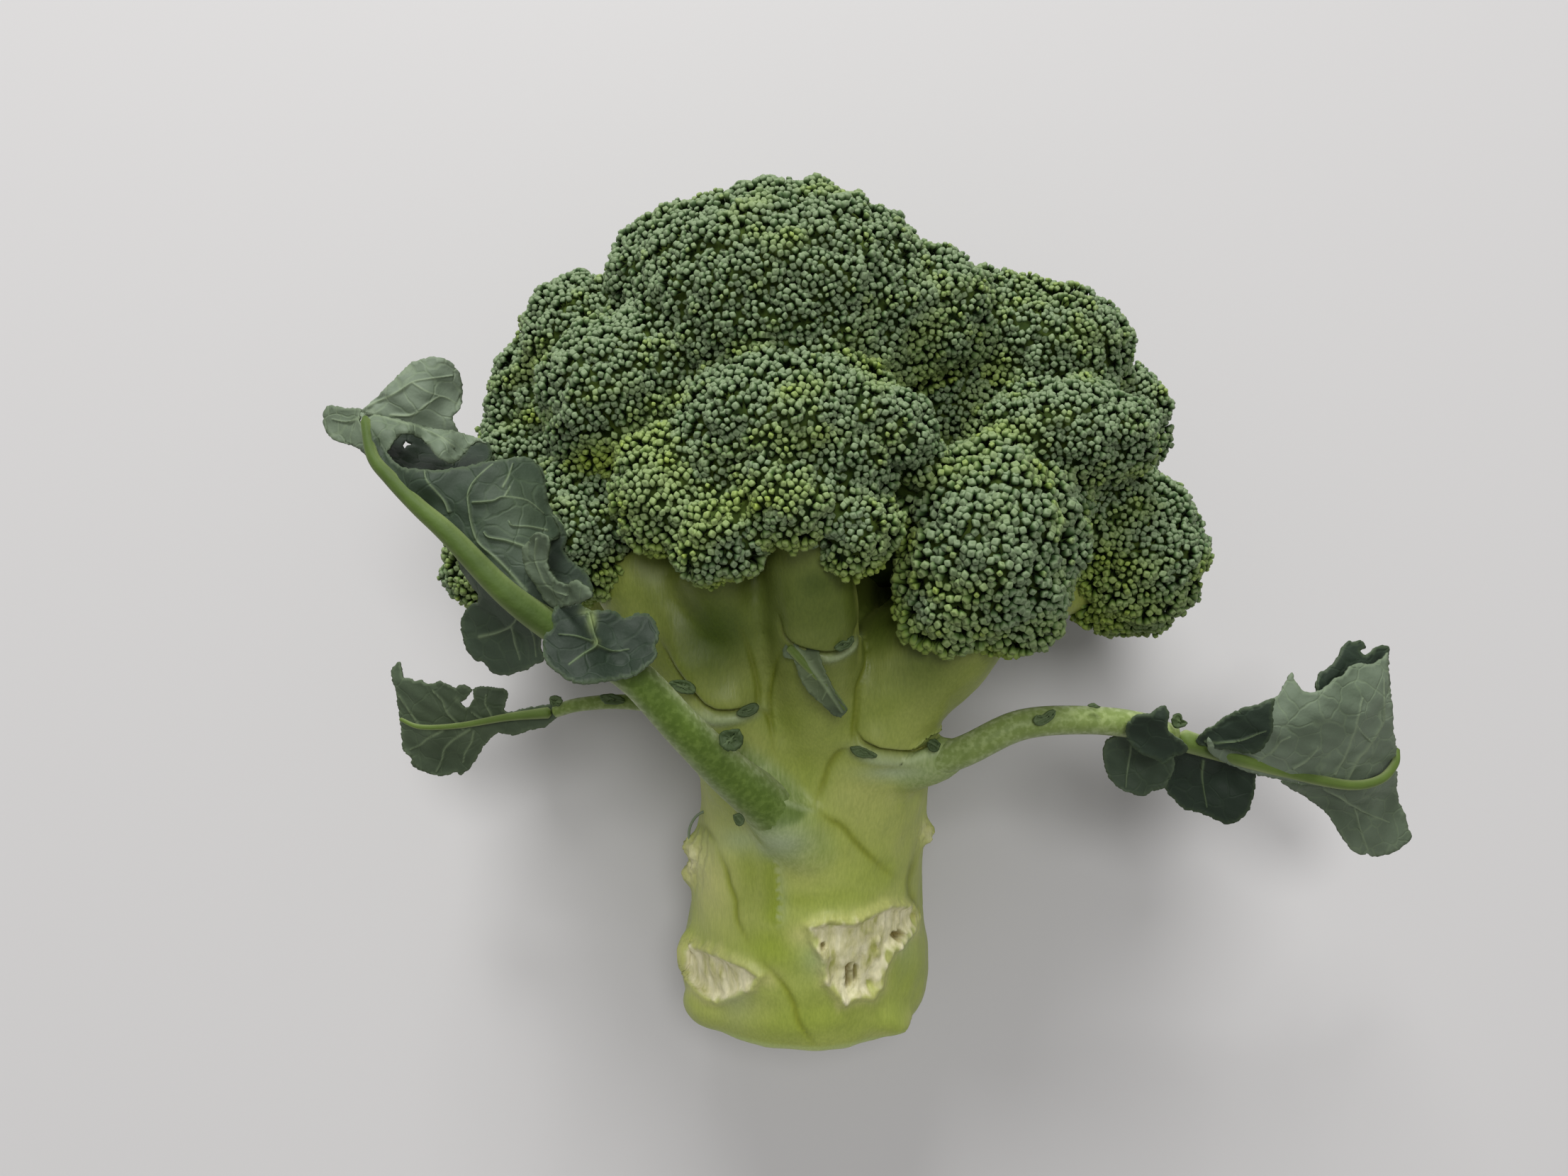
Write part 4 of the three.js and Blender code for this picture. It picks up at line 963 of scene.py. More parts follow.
def yellowness(places, young, rim, lobe_of):
    """How yellow-green each bud is, from 0 to 1: most where it is young, small or low."""
    small = np.array([mean_radius(lobe) < SMALL_LOBE for lobe in all_lobes()])[lobe_of]
    x, y = places[:, 0], places[:, 1]
    low_right = np.clip((x - 48) / 25, 0, 1) * np.clip((45 - y) / 25, 0, 1)
    far_left = np.clip((-50 - x) / 10, 0, 1) * np.clip((40 - y) / 10, 0, 1)
    yellow = 0.5 * young + 0.28 * ripple(places, SEED) - 0.08 + 0.75 * rim + 0.28 * small
    yellow += 0.25 * low_right + 0.35 * far_left
    return np.clip(yellow, 0, 1)


def place_buds(surface, rng):
    """The crown's buds (places, axes, sizes, heights, yellowness, lobe) and its knobs' middles."""
    places, normals, lobe_of, centres = growing_places(surface, rng)
    names = [name for name, group in FLORETS.items() for _ in group]
    pitch_of = np.array([COARSE_PITCH if name.startswith("under")
                         else LARGE_BUDS.get(name, BUD_PITCH) for name in names])
    knobs = mound_middles(places, KNOB_TRIES, KNOB_PITCH)
    clusters = mound_middles(places, CLUSTER_TRIES, CLUSTER_PITCH)
    pitch = pitch_of[lobe_of]
    kept = thinned(places, PACKING * pitch)
    places, normals, lobe_of, centres, pitch = (
        part[kept] for part in (places, normals, lobe_of, centres, pitch))
    group, out = nearest_seed(places, clusters)
    _, knob_out = nearest_seed(places, knobs)
    lean = unit(places - clusters[group] + 1e-6) * (out / CLUSTER_PITCH)[:, None]
    axes = unit(normals + BUD_LEAN * lean + rng.normal(0, LEAN_SCATTER, places.shape))
    rise = dome(out, CLUSTER_PITCH, CLUSTER_RISE) + dome(knob_out, KNOB_PITCH, KNOB_RISE)
    rise += rng.normal(0, HEIGHT_SCATTER, len(places))
    budding = rng.uniform(size=len(clusters))[group] < YOUNG_CLUSTERS
    young = mound(out, YOUNG_REACH) * np.where(budding, 0.95, 0.1)
    sizes = pitch * (BUD_SIZE + SIZE_SCATTER * rng.normal(size=len(places)))
    sizes = sizes * (1 - YOUNG_SHRINK * young)
    growth = unit(centres - FORK)
    rim = np.clip((-(unit(places - centres) * growth).sum(axis=1) - 0.1) / 0.7, 0, 1)
    yellow = yellowness(places, young, rim, lobe_of)
    places = places + normals * (rise - BUD_SINK)[:, None]
    return places, axes, sizes, 1 + RIM_STRETCH * rim, yellow, lobe_of, knobs


def circle(sides, radius, height, offset=0.0):
    """Points round a circle, turned by a share of the way to the next one."""
    turn = 2 * math.pi * (np.arange(sides) + offset) / sides
    return [(radius * math.cos(a), radius * math.sin(a), height) for a in turn]


def coarse_bud():
    """A plain bud on a unit scale: its points, its faces and how light each point is painted, from
    painted shade at the root to a painted highlight at the tip.
    """
    sides = 5
    verts = circle(sides, 0.62, -0.7) + circle(sides, 0.78, 0.35, 0.5) + [(0, 0, 0.8)]
    faces = []
    for i in range(sides):
        j = (i + 1) % sides
        low, low_next, high, high_next, top = i, j, sides + i, sides + j, 2 * sides
        faces += [(low, low_next, high), (low_next, high_next, high), (high, high_next, top)]
    light = [0.0] * sides + [0.7] * sides + [1.0]
    return np.array(verts), np.array(faces), np.array(light)


def fine_bud():
    """A rounded square of four sepals round a dimple, with its root in one point."""
    shoulder = np.array(circle(8, 0.9, 0.16))
    shoulder[1::2] *= (0.86, 0.86, 1.3)
    verts = [tuple(v) for v in shoulder] + circle(4, 0.64, 0.66) + [(0, 0, 0.4), (0, 0, -2)]
    dimple, root = 12, 13
    faces = []
    for i in range(4):
        j = (i + 1) % 4
        a, b, c = 2 * i, 2 * i + 1, 2 * j
        tip, next_tip = 8 + i, 8 + j
        faces += [(a, b, tip), (b, next_tip, tip), (b, c, next_tip),
                  (tip, next_tip, dimple), (b, a, root), (c, b, root)]
    # How light each point is painted: painted shade at the root, a painted highlight on the tips.
    light = [0.66, 0.56] * 4 + [1.0] * 4 + [0.72, -0.6]
    return np.array(verts), np.array(faces), np.array(light)


def bud_mesh(name, buds, fine, shade, material, rng):
    """One mesh of all the buds of a floret, each a turned and stretched copy of one bud."""
    places, axes, sizes, tall, yellow = buds
    template, faces, light = fine_bud() if fine else coarse_bud()
    count, per = len(places), len(template)
    helper = np.where(np.abs(axes[:, 2:3]) < 0.9, [[0, 0, 1]], [[1, 0, 0]])
    side = unit(np.cross(axes, helper))
    up = np.cross(axes, side)
    turn = rng.uniform(0, 6.28, count)[:, None]
    side, up = side * np.cos(turn) + up * np.sin(turn), up * np.cos(turn) - side * np.sin(turn)
    squash = rng.uniform(0.84, 1.14, (count, 1, 1))
    tall = tall[:, None, None] * rng.uniform(0.85, 1.3, (count, 1, 1))
    x, y, z = (template[None, :, k:k + 1] for k in range(3))
    verts = x * squash * side[:, None] + y / squash * up[:, None] + z * tall * axes[:, None]
    verts = above_table(places[:, None] + verts * sizes[:, None, None])
    index = faces[None] + (np.arange(count) * per)[:, None, None]
    thing = make_object(name, verts.reshape(-1, 3), index.reshape(-1, 3), material)
    colour = np.ones((count, per, 4))
    colour[..., 0] = yellow[:, None]
    # Painted highlight towards each tip and painted shade at each root.
    colour[..., 1] = light[None]
    colour[..., 2] = shade * rng.uniform(size=count)[:, None]
    paint(thing, "bud", colour.reshape(-1, 4))
    return thing


def make_crown(materials):
    """The buds of each floret, and the one fleshy body that they all stand on."""
    rng = np.random.default_rng(SEED)
    surface = crown_surface()
    *buds, lobe_of, knobs = place_buds(surface, rng)
    first = 0
    for name, group in FLORETS.items():
        mine = (lobe_of >= first) & (lobe_of < first + len(group))
        first += len(group)
        fine = not name.startswith("under")
        shade = 0.3 if name in DARK_FLORETS else 1
        own = [part[mine] for part in buds]
        piece = bud_mesh("buds_" + name, own, fine, shade, materials["bud"], rng)
        dress(piece, "floret", name)
    verts, faces, _ = surface
    _, knob_out = nearest_seed(verts, knobs)
    sunk = dome(knob_out, KNOB_PITCH, KNOB_RISE) - FLESH_SINK
    verts = above_table(verts + vertex_normals(verts, faces) * sunk[:, None])
    dress(make_object("crown_flesh", verts, faces, materials["core"]), "floret", *FLORETS)


# ------------------------------------------------------------------ stalk
def trunk_mesh(sides=72, count=90):
    """The trunk alone, as rings round its tilted axis."""
    tilt = math.radians(STALK_TILT)
    turn = 2 * math.pi * np.arange(sides) / sides
    rings = []
    for along, middle, wide, high in smooth_path(TRUNK, count):
        x = middle + wide * np.cos(turn)
        rise = high * np.sin(turn)
        y = BUTT[1] + along * math.cos(tilt) - rise * math.sin(tilt)
        z = BUTT[2] + along * math.sin(tilt) + rise * math.cos(tilt)
        rings.append(np.stack([x, y, z], axis=1))
    return rings_to_mesh(np.array(rings))


def trunk_axis(y):
    """The height of the trunk's axis at y."""
    return BUTT[2] + (y - BUTT[1]) * math.tan(math.radians(STALK_TILT))


def stalk_edge(middles):
    """The longest edge wanted at each place: short where marks are fine."""
    pixels = to_photo(middles)
    left, right, top = SHOWN_TRUNK
    shown = (pixels[:, 0] > left) & (pixels[:, 0] < right) & (pixels[:, 1] > top)
    shown &= middles[:, 2] > trunk_axis(middles[:, 1])
    lines = [np.asarray(line, float) for line in POCKETS + SCARS]
    lines += [smooth_path(line, 12) for line, _, _ in GROOVES]
    near = np.min([line_distance(pixels[shown], line) for line in lines], axis=0)
    edge = np.full(len(middles), SKIN_EDGE)
    edge[shown] = np.where(near < MARK_REACH, MARK_EDGE, SHOWN_EDGE)
    return edge


def stalk_mesh():
    """The trunk, branches, leaf stalk bases and bumps as one skin of fine triangles."""
    flares = [tube(stations, 32) for stations in (FLARE_LEFT, FLARE_RIGHT)]
    bumps = [lobe_body((*from_photo(np.array([[x, y]], float), z)[0], *size), 16, 8)
             for x, y, z, size in STALK_BUMPS]
    parts = [trunk_mesh()] + [tube(stations) for stations in BRANCHES] + flares + bumps
    verts, faces = remeshed(parts, STALK_VOXEL, 10)
    faces = np.concatenate([faces[:, [0, 1, 2]], faces[:, [0, 2, 3]]])
    return refined(verts, faces, stalk_edge, 3)


def pocket_marks(pixels):
    """Where a branch's swollen foot dips behind the pale lip of a ledge, with painted shade along the
    dip.
    """
    height, lip, crease_shade = (np.zeros(len(pixels)) for _ in range(3))
    out, within = FOOT_ENDS
    for edge in POCKETS:
        edge = np.asarray(edge, float)
        away = line_distance(pixels, edge)
        above = pixels[:, 1] < np.interp(pixels[:, 0], edge[:, 0], edge[:, 1])
        swell = np.where(above, np.exp(-away / FOOT_FADE) * (1 - np.exp(-away / FOOT_START)), 0)
        swell *= smooth_step(pixels[:, 0], edge[0, 0] - out, edge[0, 0] + within)
        swell *= 1 - smooth_step(pixels[:, 0], edge[-1, 0] - within, edge[-1, 0] + out)
        height += FOOT_SWELL * swell - POCKET_DEPTH * stroke(pixels, edge, 3)
        crease_shade = np.maximum(crease_shade, stroke(pixels, edge, 2.6))
    for line, width, rise in LEDGES:
        drawn = stroke(pixels, line, width)
        height += rise * drawn
        lip = np.maximum(lip, drawn)
    return height, lip, crease_shade


def scar_marks(pixels, points):
    """Torn leaf scars: a swollen rim round a rough and sunken corky floor."""
    height, floor, rim = (np.zeros(len(pixels)) for _ in range(3))
    for outline in SCARS:
        depth = outline_depth(pixels, outline)
        inside = smooth_step(depth, 1, 9)
        along = points * (1, 0.4, 1)
        torn = ripple(along, SEED + 2, (5, 3, 1.6)) * ripple(points, SEED + 9, (9, 5, 2.7))
        height += RIM_HEIGHT * mound(depth + 1, 7) * (1 + 0.3 * torn)
        height += inside * (FLOOR_ROUGHNESS * torn - FLOOR_DEPTH)
        floor = np.maximum(floor, smooth_step(depth + 5 * torn, -2, 5))
        rim = np.maximum(rim, mound(depth + 4 + 4 * torn, 9))
    pits = np.max([smooth_step(outline_depth(pixels, pit), -1.5, 2.5) for pit in SCAR_PITS], axis=0)
    ragged = spots(pixels, RAGGED_SPOTS)
    height += RAGGED_HEIGHT * ragged * ripple(points, SEED + 4, (4.5, 3, 1.8))
    return height - PIT_DEPTH * pits, np.maximum(floor, 0.6 * ragged), rim, pits


def toothed_patch(pixels):
    """A yellow-green patch that ends in a toothed edge, and the pale band beside that edge."""
    edge = np.array(TOOTHED_EDGE, float)
    teeth = 2 * TOOTH_DEPTH * np.abs((pixels[:, 1] / TOOTH_PITCH) % 1 - 0.5)
    across = pixels[:, 0] - np.interp(pixels[:, 1], edge[:, 1], edge[:, 0]) - teeth
    away = line_distance(pixels, edge)
    fresh = 0.9 * smooth_step(-across, -1, 1.5) * mound(away, 20)
    return fresh, 0.5 * smooth_step(across, -1, 1.5) * mound(away, 14)


def groove_marks(pixels):
    """Long soft furrows between the branches, with painted shade along a thin crease in each."""
    height, furrow, crease_shade = (np.zeros(len(pixels)) for _ in range(3))
    for line, width, depth in GROOVES:
        height -= depth * stroke(pixels, line, 1.3 * width)
        furrow = np.maximum(furrow, 0.8 * stroke(pixels, line, 1.9 * width))
        crease_shade = np.maximum(crease_shade, 0.3 * stroke(pixels, line, width))
    return height, furrow, crease_shade


def stalk_marks(points, pixels, seen, pockets):
    """Relief in millimetres and the strength of each colour, for one side of the stalk.

    The branch feet, the olive green darkened by painted shade, and the leaf stalk's foot are drawn only
    with pockets.
    """
    height, floor, rim, pits = scar_marks(pixels, points)
    grooves, furrow, crease_shade = groove_marks(pixels)
    height += grooves
    lip, rim_line, foot, olive_and_shade = (np.zeros(len(pixels)) for _ in range(4))
    if pockets:
        lift, lip, edges = pocket_marks(pixels)
        rim_line = 0.6 * stroke(pixels, STEM_RIM, 4)
        foot = 0.85 * smooth_step(outline_depth(pixels, STEM_FOOT), -5, 5) * (1 - rim_line)
        olive_and_shade = spots(pixels, OLIVE_AND_SHADE_SPOTS)
        height += lift + 0.5 * rim_line
        crease_shade = np.maximum(crease_shade, edges)
    height += spots(pixels, LOW_LUMPS)
    fresh, beside = toothed_patch(pixels)
    masks = {
        "cream": np.maximum(spots(pixels, CREAM_SPOTS), 0.8 * rim),
        "olive_and_shade": olive_and_shade,
        "wax": np.max([spots(pixels, WAX_SPOTS), 0.75 * lip, 0.8 * rim_line, beside], axis=0),
        "fresh": np.maximum(fresh, spots(pixels, FRESH_SPOTS)),
        "scar": floor, "crease_shade": crease_shade, "pit": pits, "foot": foot, "furrow": furrow}
    return height * seen, {name: value * seen for name, value in masks.items()}


def facing(points, normals):
    """How squarely a surface faces the camera's side, from 0 to 1."""
    eye = unit(np.array([0, 0, CAMERA_HEIGHT]) - points)
    return smooth_step((normals * eye).sum(axis=1), 0.05, 0.4)


def beneath(points):
    """Turns points half round the stalk's axis, so the underside reads the same marks."""
    turned = points.copy()
    turned[:, 0] = 2 * BUTT[0] - points[:, 0]
    turned[:, 2] = 2 * trunk_axis(points[:, 1]) - points[:, 2]
    return turned


def cut_end(verts):
    """How far each point belongs to the cut end, and how far out it is from the trunk's axis."""
    tilt = math.radians(STALK_TILT)
    axis = np.array([0, math.cos(tilt), math.sin(tilt)])
    along = (verts - BUTT) @ axis
    from_axis = np.linalg.norm(verts - BUTT - along[:, None] * axis, axis=1)
    return smooth_step(-along, -1.2, -0.2), from_axis / CUT_RADIUS


def stem_nearness(verts):
    """How near each point is to the two large leaf stalks, from 0 to 1."""
    near = np.zeros(len(verts))
    for stations, reach in ((PETIOLE_LEFT, 2.6), (PETIOLE_RIGHT, 2)):
        path = smooth_path(stations[1:], 40)
        gap = line_distance(verts, path[:, :3]) - path[:, 3].max()
        near = np.maximum(near, 1 - smooth_step(gap, -0.8, reach))
    return near


def make_stalk(materials):
    """The stalk's skin with its marks, and the flesh behind its branches, dark with painted shade."""
    verts, faces = stalk_mesh()
    normals = vertex_normals(verts, faces)
    relief, masks = stalk_marks(verts, to_photo(verts), facing(verts, normals), True)
    low = smooth_step(-normals[:, 2], 0.1, 0.45)
    low_relief, low_masks = stalk_marks(verts, to_photo(beneath(verts)), low, False)
    masks = {name: np.maximum(value, low_masks[name]) for name, value in masks.items()}
    relief += low_relief + SKIN_WAVER * ripple(verts, SEED + 3, (22, 11, 6))
    verts = above_table(verts + normals * relief[:, None])
    masks["cut"], masks["radius"] = cut_end(verts)
    masks["stem"] = stem_nearness(verts)
    stalk = make_object("stalk_skin", verts, faces, materials["stalk"])
    for layer, names in STALK_LAYERS.items():
        paint(stalk, layer, np.stack([masks[name] for name in names], axis=1))
    dress(stalk, "stalk", "stalk")
    mass = make_object("branch_mass", *lobe_body(BRANCH_MASS), materials["core"])
    dress(mass, "stalk", "stalk")


# ------------------------------------------------------------------ leaves
def toothed(border, rng):
    """Gives an outline in pixels the small uneven teeth of a leaf's edge."""
    outward = unit(np.roll(border, -1, axis=0) - np.roll(border, 1, axis=0)) @ [[0, -1], [1, 0]]
    length = np.cumsum(np.linalg.norm(border - np.roll(border, 1, axis=0), axis=1))
    tooth = 1.3 * ((length / TOOTH_SPACING) % 1) + 0.35 * rng.normal(size=len(border))
    return border + outward * (tooth - 0.6)[:, None]


def filled_outline(border, step):
    """Triangles over the inside of a border, with a staggered grid of points in it."""
    low, high = border.min(axis=0), border.max(axis=0)
    rows = []
    for k, y in enumerate(np.arange(low[1], high[1], 0.87 * step)):
        x = np.arange(low[0] + (k % 2) * step / 2, high[0], step)
        rows.append(np.stack([x, np.full(len(x), y)], axis=1))
    grid = np.concatenate(rows)
    grid = grid[inside_outline(grid, border)]
    grid = grid[line_distance(grid, closed(border)) > 0.55 * step]
    flat = [Vector(point) for point in np.vstack([border, grid])]
    found, _, triangles, *_ = delaunay_2d_cdt(flat, [], [list(range(len(border)))], 1, 1e-4)
    return np.array([tuple(point) for point in found]), np.array(triangles)


def without_hole(points, triangles, hole):
    """Takes out the triangles inside a hole, and the points that only they use."""
    middles = points[triangles].mean(axis=1)
    triangles = triangles[~inside_outline(middles, np.asarray(hole, float))]
    used = np.unique(triangles)
    renumbered = np.full(len(points), -1)
    renumbered[used] = np.arange(len(used))
    return points[used], renumbered[triangles]


def vein_strength(points, curves, widths):
    """How near each point is to a vein, from 0 to 1; veins thin out towards their ends."""
    strength = np.zeros(len(points))
    for curve, width in zip(curves, widths):
        taper = 0.8 * width * np.linspace(1, 0.4, len(curve))
        gap = np.full(len(points), 1e9)
        for k in range(len(curve) - 1):
            gap = np.minimum(gap, line_distance(points, curve[k:k + 2]) / taper[k])
        strength = np.maximum(strength, np.exp(-gap ** 2))
    return strength


def lobe_anchors(lobe):
    """Control points over a lobe: its root, its edge, its middle lifted by bow, and any more."""
    root, edge = np.asarray(lobe["root"], float), np.asarray(lobe["edge"], float)
    span = edge - root
    lift = unit(np.cross(np.gradient(root, axis=0), span))
    middle = (root + edge) / 2 + lift * lobe["bow"]
    return np.vstack([root, edge, middle] + ([lobe["more"]] if "more" in lobe else []))


def height_field(anchors):
    """A thin-plate spline of height over the photograph, through anchors in millimetres."""
    anchors = np.asarray(anchors, float)
    where = to_photo(anchors) / 100

    def kernel(a, b):
        squared = ((a[:, None] - b[None]) ** 2).sum(axis=2)
        return 0.5 * squared * np.log(squared + 1e-9)

    n = len(where)
    plane = np.hstack([np.ones((n, 1)), where])
    bending = kernel(where, where) + 0.02 * np.eye(n)
    system = np.block([[bending, plane], [plane.T, np.zeros((3, 3))]])
    weights = np.linalg.solve(system, np.concatenate([anchors[:, 2], np.zeros(3)]))

    def height(pixels):
        p = pixels / 100
        flat = np.hstack([np.ones((len(p), 1)), p])
        return kernel(p, where) @ weights[:n] + flat @ weights[n:]
    return height


def patch_mesh(lobe, step, rng):
    """A sheet over a lobe's outline: places, triangles, veins' strength and pixels."""
    border = toothed(closed_curve(lobe["outline"], step / 2), rng)
    points, triangles = filled_outline(border, step)
    if "hole" in lobe:
        points, triangles = without_hole(points, triangles, lobe["hole"])
    veins = lobe.get("veins", [])
    curves = [smooth_path(line, 8 * len(line)) for line, _ in veins]

    def wanted(middles):
        near = np.min([line_distance(middles, curve) for curve in curves], axis=0)
        return np.where(near < VEIN_REACH, VEIN_EDGE, 2 * step)

    if curves:
        points, triangles = refined(points, triangles, wanted, 2)
    strength = vein_strength(points, curves, [width for _, width in veins])
    rim = 0.4 * mound(line_distance(points, closed(border)), 2.5)
    height = height_field(lobe_anchors(lobe))(points)
    return from_photo(points, height), triangles, np.maximum(strength, rim), points


def sheet_solid(place, triangles, strength, tones, thickness):
    """Gives a sheet a front and a back face and a rim between them."""
    normals = vertex_normals(place, triangles)
    if normals[:, 2].mean() < 0:
        triangles = triangles[:, ::-1]
        normals = -normals
    n = len(place)
    puckers = PUCKER * ripple(place, SEED + 5, (11, 6, 3.4)) * (1 - strength)
    raised = place + normals * (VEIN_RISE * strength + puckers)[:, None]
    front = raised + normals * thickness / 2
    back = raised - normals * thickness / 2
    edges = np.concatenate([triangles[:, [0, 1]], triangles[:, [1, 2]], triangles[:, [2, 0]]])
    edges = [tuple(edge) for edge in edges.tolist()]
    known = set(edges)
    sides = []
    for a, b in edges:
        if (b, a) not in known:
            sides += [(a, b + n, b), (a, a + n, b + n)]
    faces = np.concatenate([triangles, triangles[:, ::-1] + n, np.array(sides)])
    colour = np.ones((2 * n, 4))
    colour[:, 0] = np.tile(strength, 2)
    colour[:n, 1], colour[n:, 1] = tones
    colour[:, 2] = 0
    return np.vstack([front, back]), faces, colour


def edge_sheen(sides, count):
    """How near each point of a tube is to its two edges, seen from above, from 0 to 1: the strength of
    the painted sheen there.
    """
    turn = 2 * math.pi * np.arange(sides) / sides
    around = np.abs(np.cos(turn)) ** 4
    return np.concatenate([np.tile(around, count), [0, 0]])


def make_leaf(name, node, midrib, rib_tone, lobes, materials, rng, step=5):
    """A blade of several lobes with its midrib, which stands in for one CAD node."""
    parts, colours = [], []
    for lobe in lobes:
        place, triangles, strength, pixels = patch_mesh(lobe, step, rng)
        # The back face takes the opposite tone: the light and shade painted on a lobe are turned over
        # on its back.
        tones = (lobe["light_and_shade_tone"], 1 - lobe["light_and_shade_tone"])
        verts, faces, colour = sheet_solid(place, triangles, strength, tones, LEAF_THICKNESS)
        colour[:, 2] = np.tile(spots(pixels, lobe.get("pale", [])), 2)
        # Light patches raise the tone, which paints light and shade.
        colour[:, 1] += np.tile(spots(pixels, lobe.get("light", [])), 2)
        parts.append((verts, faces))
        colours.append(colour)
    sides, count = 16, 60
    verts, faces = tube(midrib, sides, count)
    parts.append((verts, faces))
    rib = np.tile([0, rib_tone, 1, 1], (len(verts), 1)).astype(float)
    rib[:, 3] = edge_sheen(sides, count)
    colours.append(rib)
    verts, faces = merged(parts)
    blade = make_object(name, verts, faces, materials["leaf"])
    paint(blade, "leaf", np.concatenate(colours))
    dress(blade, "blade", node)


def make_petiole(name, node, stations, pale, materials):
    """A leaf stalk, painted with a sheen along its edges, its paleness and the way along it."""
    sides, count = 24, 70
    verts, faces = tube(stations, sides, count)
    stem = make_object(name, verts, faces, materials["petiole"])
    side = edge_sheen(sides, count)
    along = np.concatenate([np.repeat(np.linspace(0, 1, count), sides), [0, 1]])
    ones = np.ones(len(verts))
    paint(stem, "stem", np.stack([side, pale * ones, along, ones], axis=1))
    dress(stem, "petiole", node)


def host_points():
    """Every point of the skins that the leaflets grow on."""
    points = []
    for name in LEAFLET_HOSTS:
        mesh = bpy.data.objects[name].data
        places = np.empty(len(mesh.vertices) * 3)
        mesh.vertices.foreach_get("co", places)
        points.append(places.reshape(-1, 3) / MM + HEAD_CENTRE)
    return np.concatenate(points)


def cupped_faces(n, rings):
    """Triangles of nested rings of n points each, with one point in the middle."""
    faces = []
    last = (rings - 1) * n
    for i in range(n):
        j = (i + 1) % n
        for base in range(0, last, n):
            faces += [(base + i, base + j, base + n + j), (base + i, base + n + j, base + n + i)]
        faces.append((last + i, last + j, last + n))
    return np.array(faces)


def leaflet_mesh(outline, base, light_and_shade_tone, rng):
    """A cupped leaflet with a faint midrib, its middle at height base."""
    middle = np.mean(outline, axis=0)
    border = closed_curve(outline, 3)
    rings = [middle + (border - middle) * share for share, _ in LEAFLET_CUP]
    place = [from_photo(ring, np.full(len(ring), base + rise))
             for ring, (_, rise) in zip(rings, LEAFLET_CUP)]
    place = np.vstack(place + [from_photo(middle[None], np.array([base]))])
    place += rng.normal(0, 0.05, place.shape)
    long_way = np.linalg.svd(border - middle)[2][0]
    across = (np.vstack(rings + [middle]) - middle) @ np.array([-long_way[1], long_way[0]])
    verts, faces, colour = sheet_solid(place, cupped_faces(len(border), len(rings)),
                                       0.6 * mound(across, 1.4), (light_and_shade_tone, light_and_shade_tone), LEAFLET_THICKNESS)
    colour[:, 2:] = (0.4, 0)
    return verts, faces, colour


def add_leaflets(materials):
    """Small leaflets that stand just off the stalk or a leaf stalk, and the thread."""
    rng = np.random.default_rng(SEED + 7)
    points = host_points()
    where = to_photo(points)
    parts, colours = [], []
    for outline, lift, light_and_shade_tone in LEAFLETS:
        near = np.linalg.norm(where - np.mean(outline, axis=0), axis=1)
        close = near < np.partition(near, HOST_POINTS)[HOST_POINTS] + HOST_REACH
        under = points[close, 2].max()
        verts, faces, colour = leaflet_mesh(outline, under + lift, light_and_shade_tone, rng)
        parts.append((verts, faces))
        colours.append(colour)
    line = np.array(THREAD, float)
    middle = from_photo(line[:, :2], line[:, 2])
    verts, faces = tube(np.column_stack([middle, np.full(len(line), THREAD_RADIUS)]), 8, 30)
    parts.append((verts, faces))
    colours.append(np.tile([1, 0.9, 0, 0], (len(verts), 1)))
    piece = make_object("leaflets", *merged(parts), materials["leaf"])
    paint(piece, "leaf", np.concatenate(colours))
    dress(piece, "blade")


def add_leaves(materials):
    """The leaf blades, the leaf stalks and the leaflets that grow on them."""
    rng = np.random.default_rng(SEED)
    make_leaf("leaf_left", "blade_left", MIDRIB_LEFT, 0.1, LEFT_LOBES, materials, rng)
    make_leaf("leaf_right", "blade_right", MIDRIB_RIGHT, 0.6, RIGHT_LOBES, materials, rng)
    make_leaf("leaf_small", "blade_small", MIDRIB_SMALL, 0.6, SMALL_LOBES, materials, rng, 4)
    make_leaf("leaf_fork", "leaflet_fork", FORK_MIDRIB, 0.6, FORK_LOBES, materials, rng, 4)
    make_petiole("stem_left", "petiole_left", PETIOLE_LEFT, 0.05, materials)
    make_petiole("stem_right", "petiole_right", PETIOLE_RIGHT, 0.6, materials)
    make_petiole("stem_small", "petiole_small", PETIOLE_SMALL, 0.4, materials)
    add_leaflets(materials)


# ------------------------------------------------------------------ materials
def new_material(name, roughness, specular=0.5):
    """An empty material, its node tree and its shader."""
    material = bpy.data.materials.new(name)
    material.use_nodes = True
    tree = material.node_tree
    shader = tree.nodes["Principled BSDF"]
    shader.inputs["Roughness"].default_value = roughness
    shader.inputs["Specular IOR Level"].default_value = specular
    return material, tree, shader


def attribute(tree, name):
    """The red, green, blue and alpha of a stored colour."""
    source = tree.nodes.new("ShaderNodeAttribute")
    source.attribute_name = name
    split = tree.nodes.new("ShaderNodeSeparateColor")
    tree.links.new(source.outputs["Color"], split.inputs[0])
    return (*split.outputs[:3], source.outputs["Alpha"])


def ramp(tree, stops, source):
    """Colours along a value: stops of place and colour."""
    node = tree.nodes.new("ShaderNodeValToRGB")
    elements = node.color_ramp.elements
    for place, _ in stops[2:]:
        elements.new(place)
    for element, (place, colour) in zip(sorted(elements, key=lambda e: e.position), stops):
        element.position = place
        element.color = (*colour, 1)
    tree.links.new(source, node.inputs["Fac"])
    return node.outputs["Color"]


def mix(tree, factor, first, second, blend="MIX"):
    """Mixes two colours; each input is a node's output, a number or a colour."""
    node = tree.nodes.new("ShaderNodeMix")
    node.data_type = "RGBA"
    node.blend_type = blend
    for index, value in ((0, factor), (6, first), (7, second)):
        socket = node.inputs[index]
        if isinstance(value, bpy.types.NodeSocket):
            tree.links.new(value, socket)
        elif isinstance(value, (int, float)):
            socket.default_value = value
        else:
            socket.default_value = (*value, 1)
    return node.outputs[2]


def times(tree, first, second):
    """One colour multiplied by another."""
    return mix(tree, 1.0, first, second, "MULTIPLY")


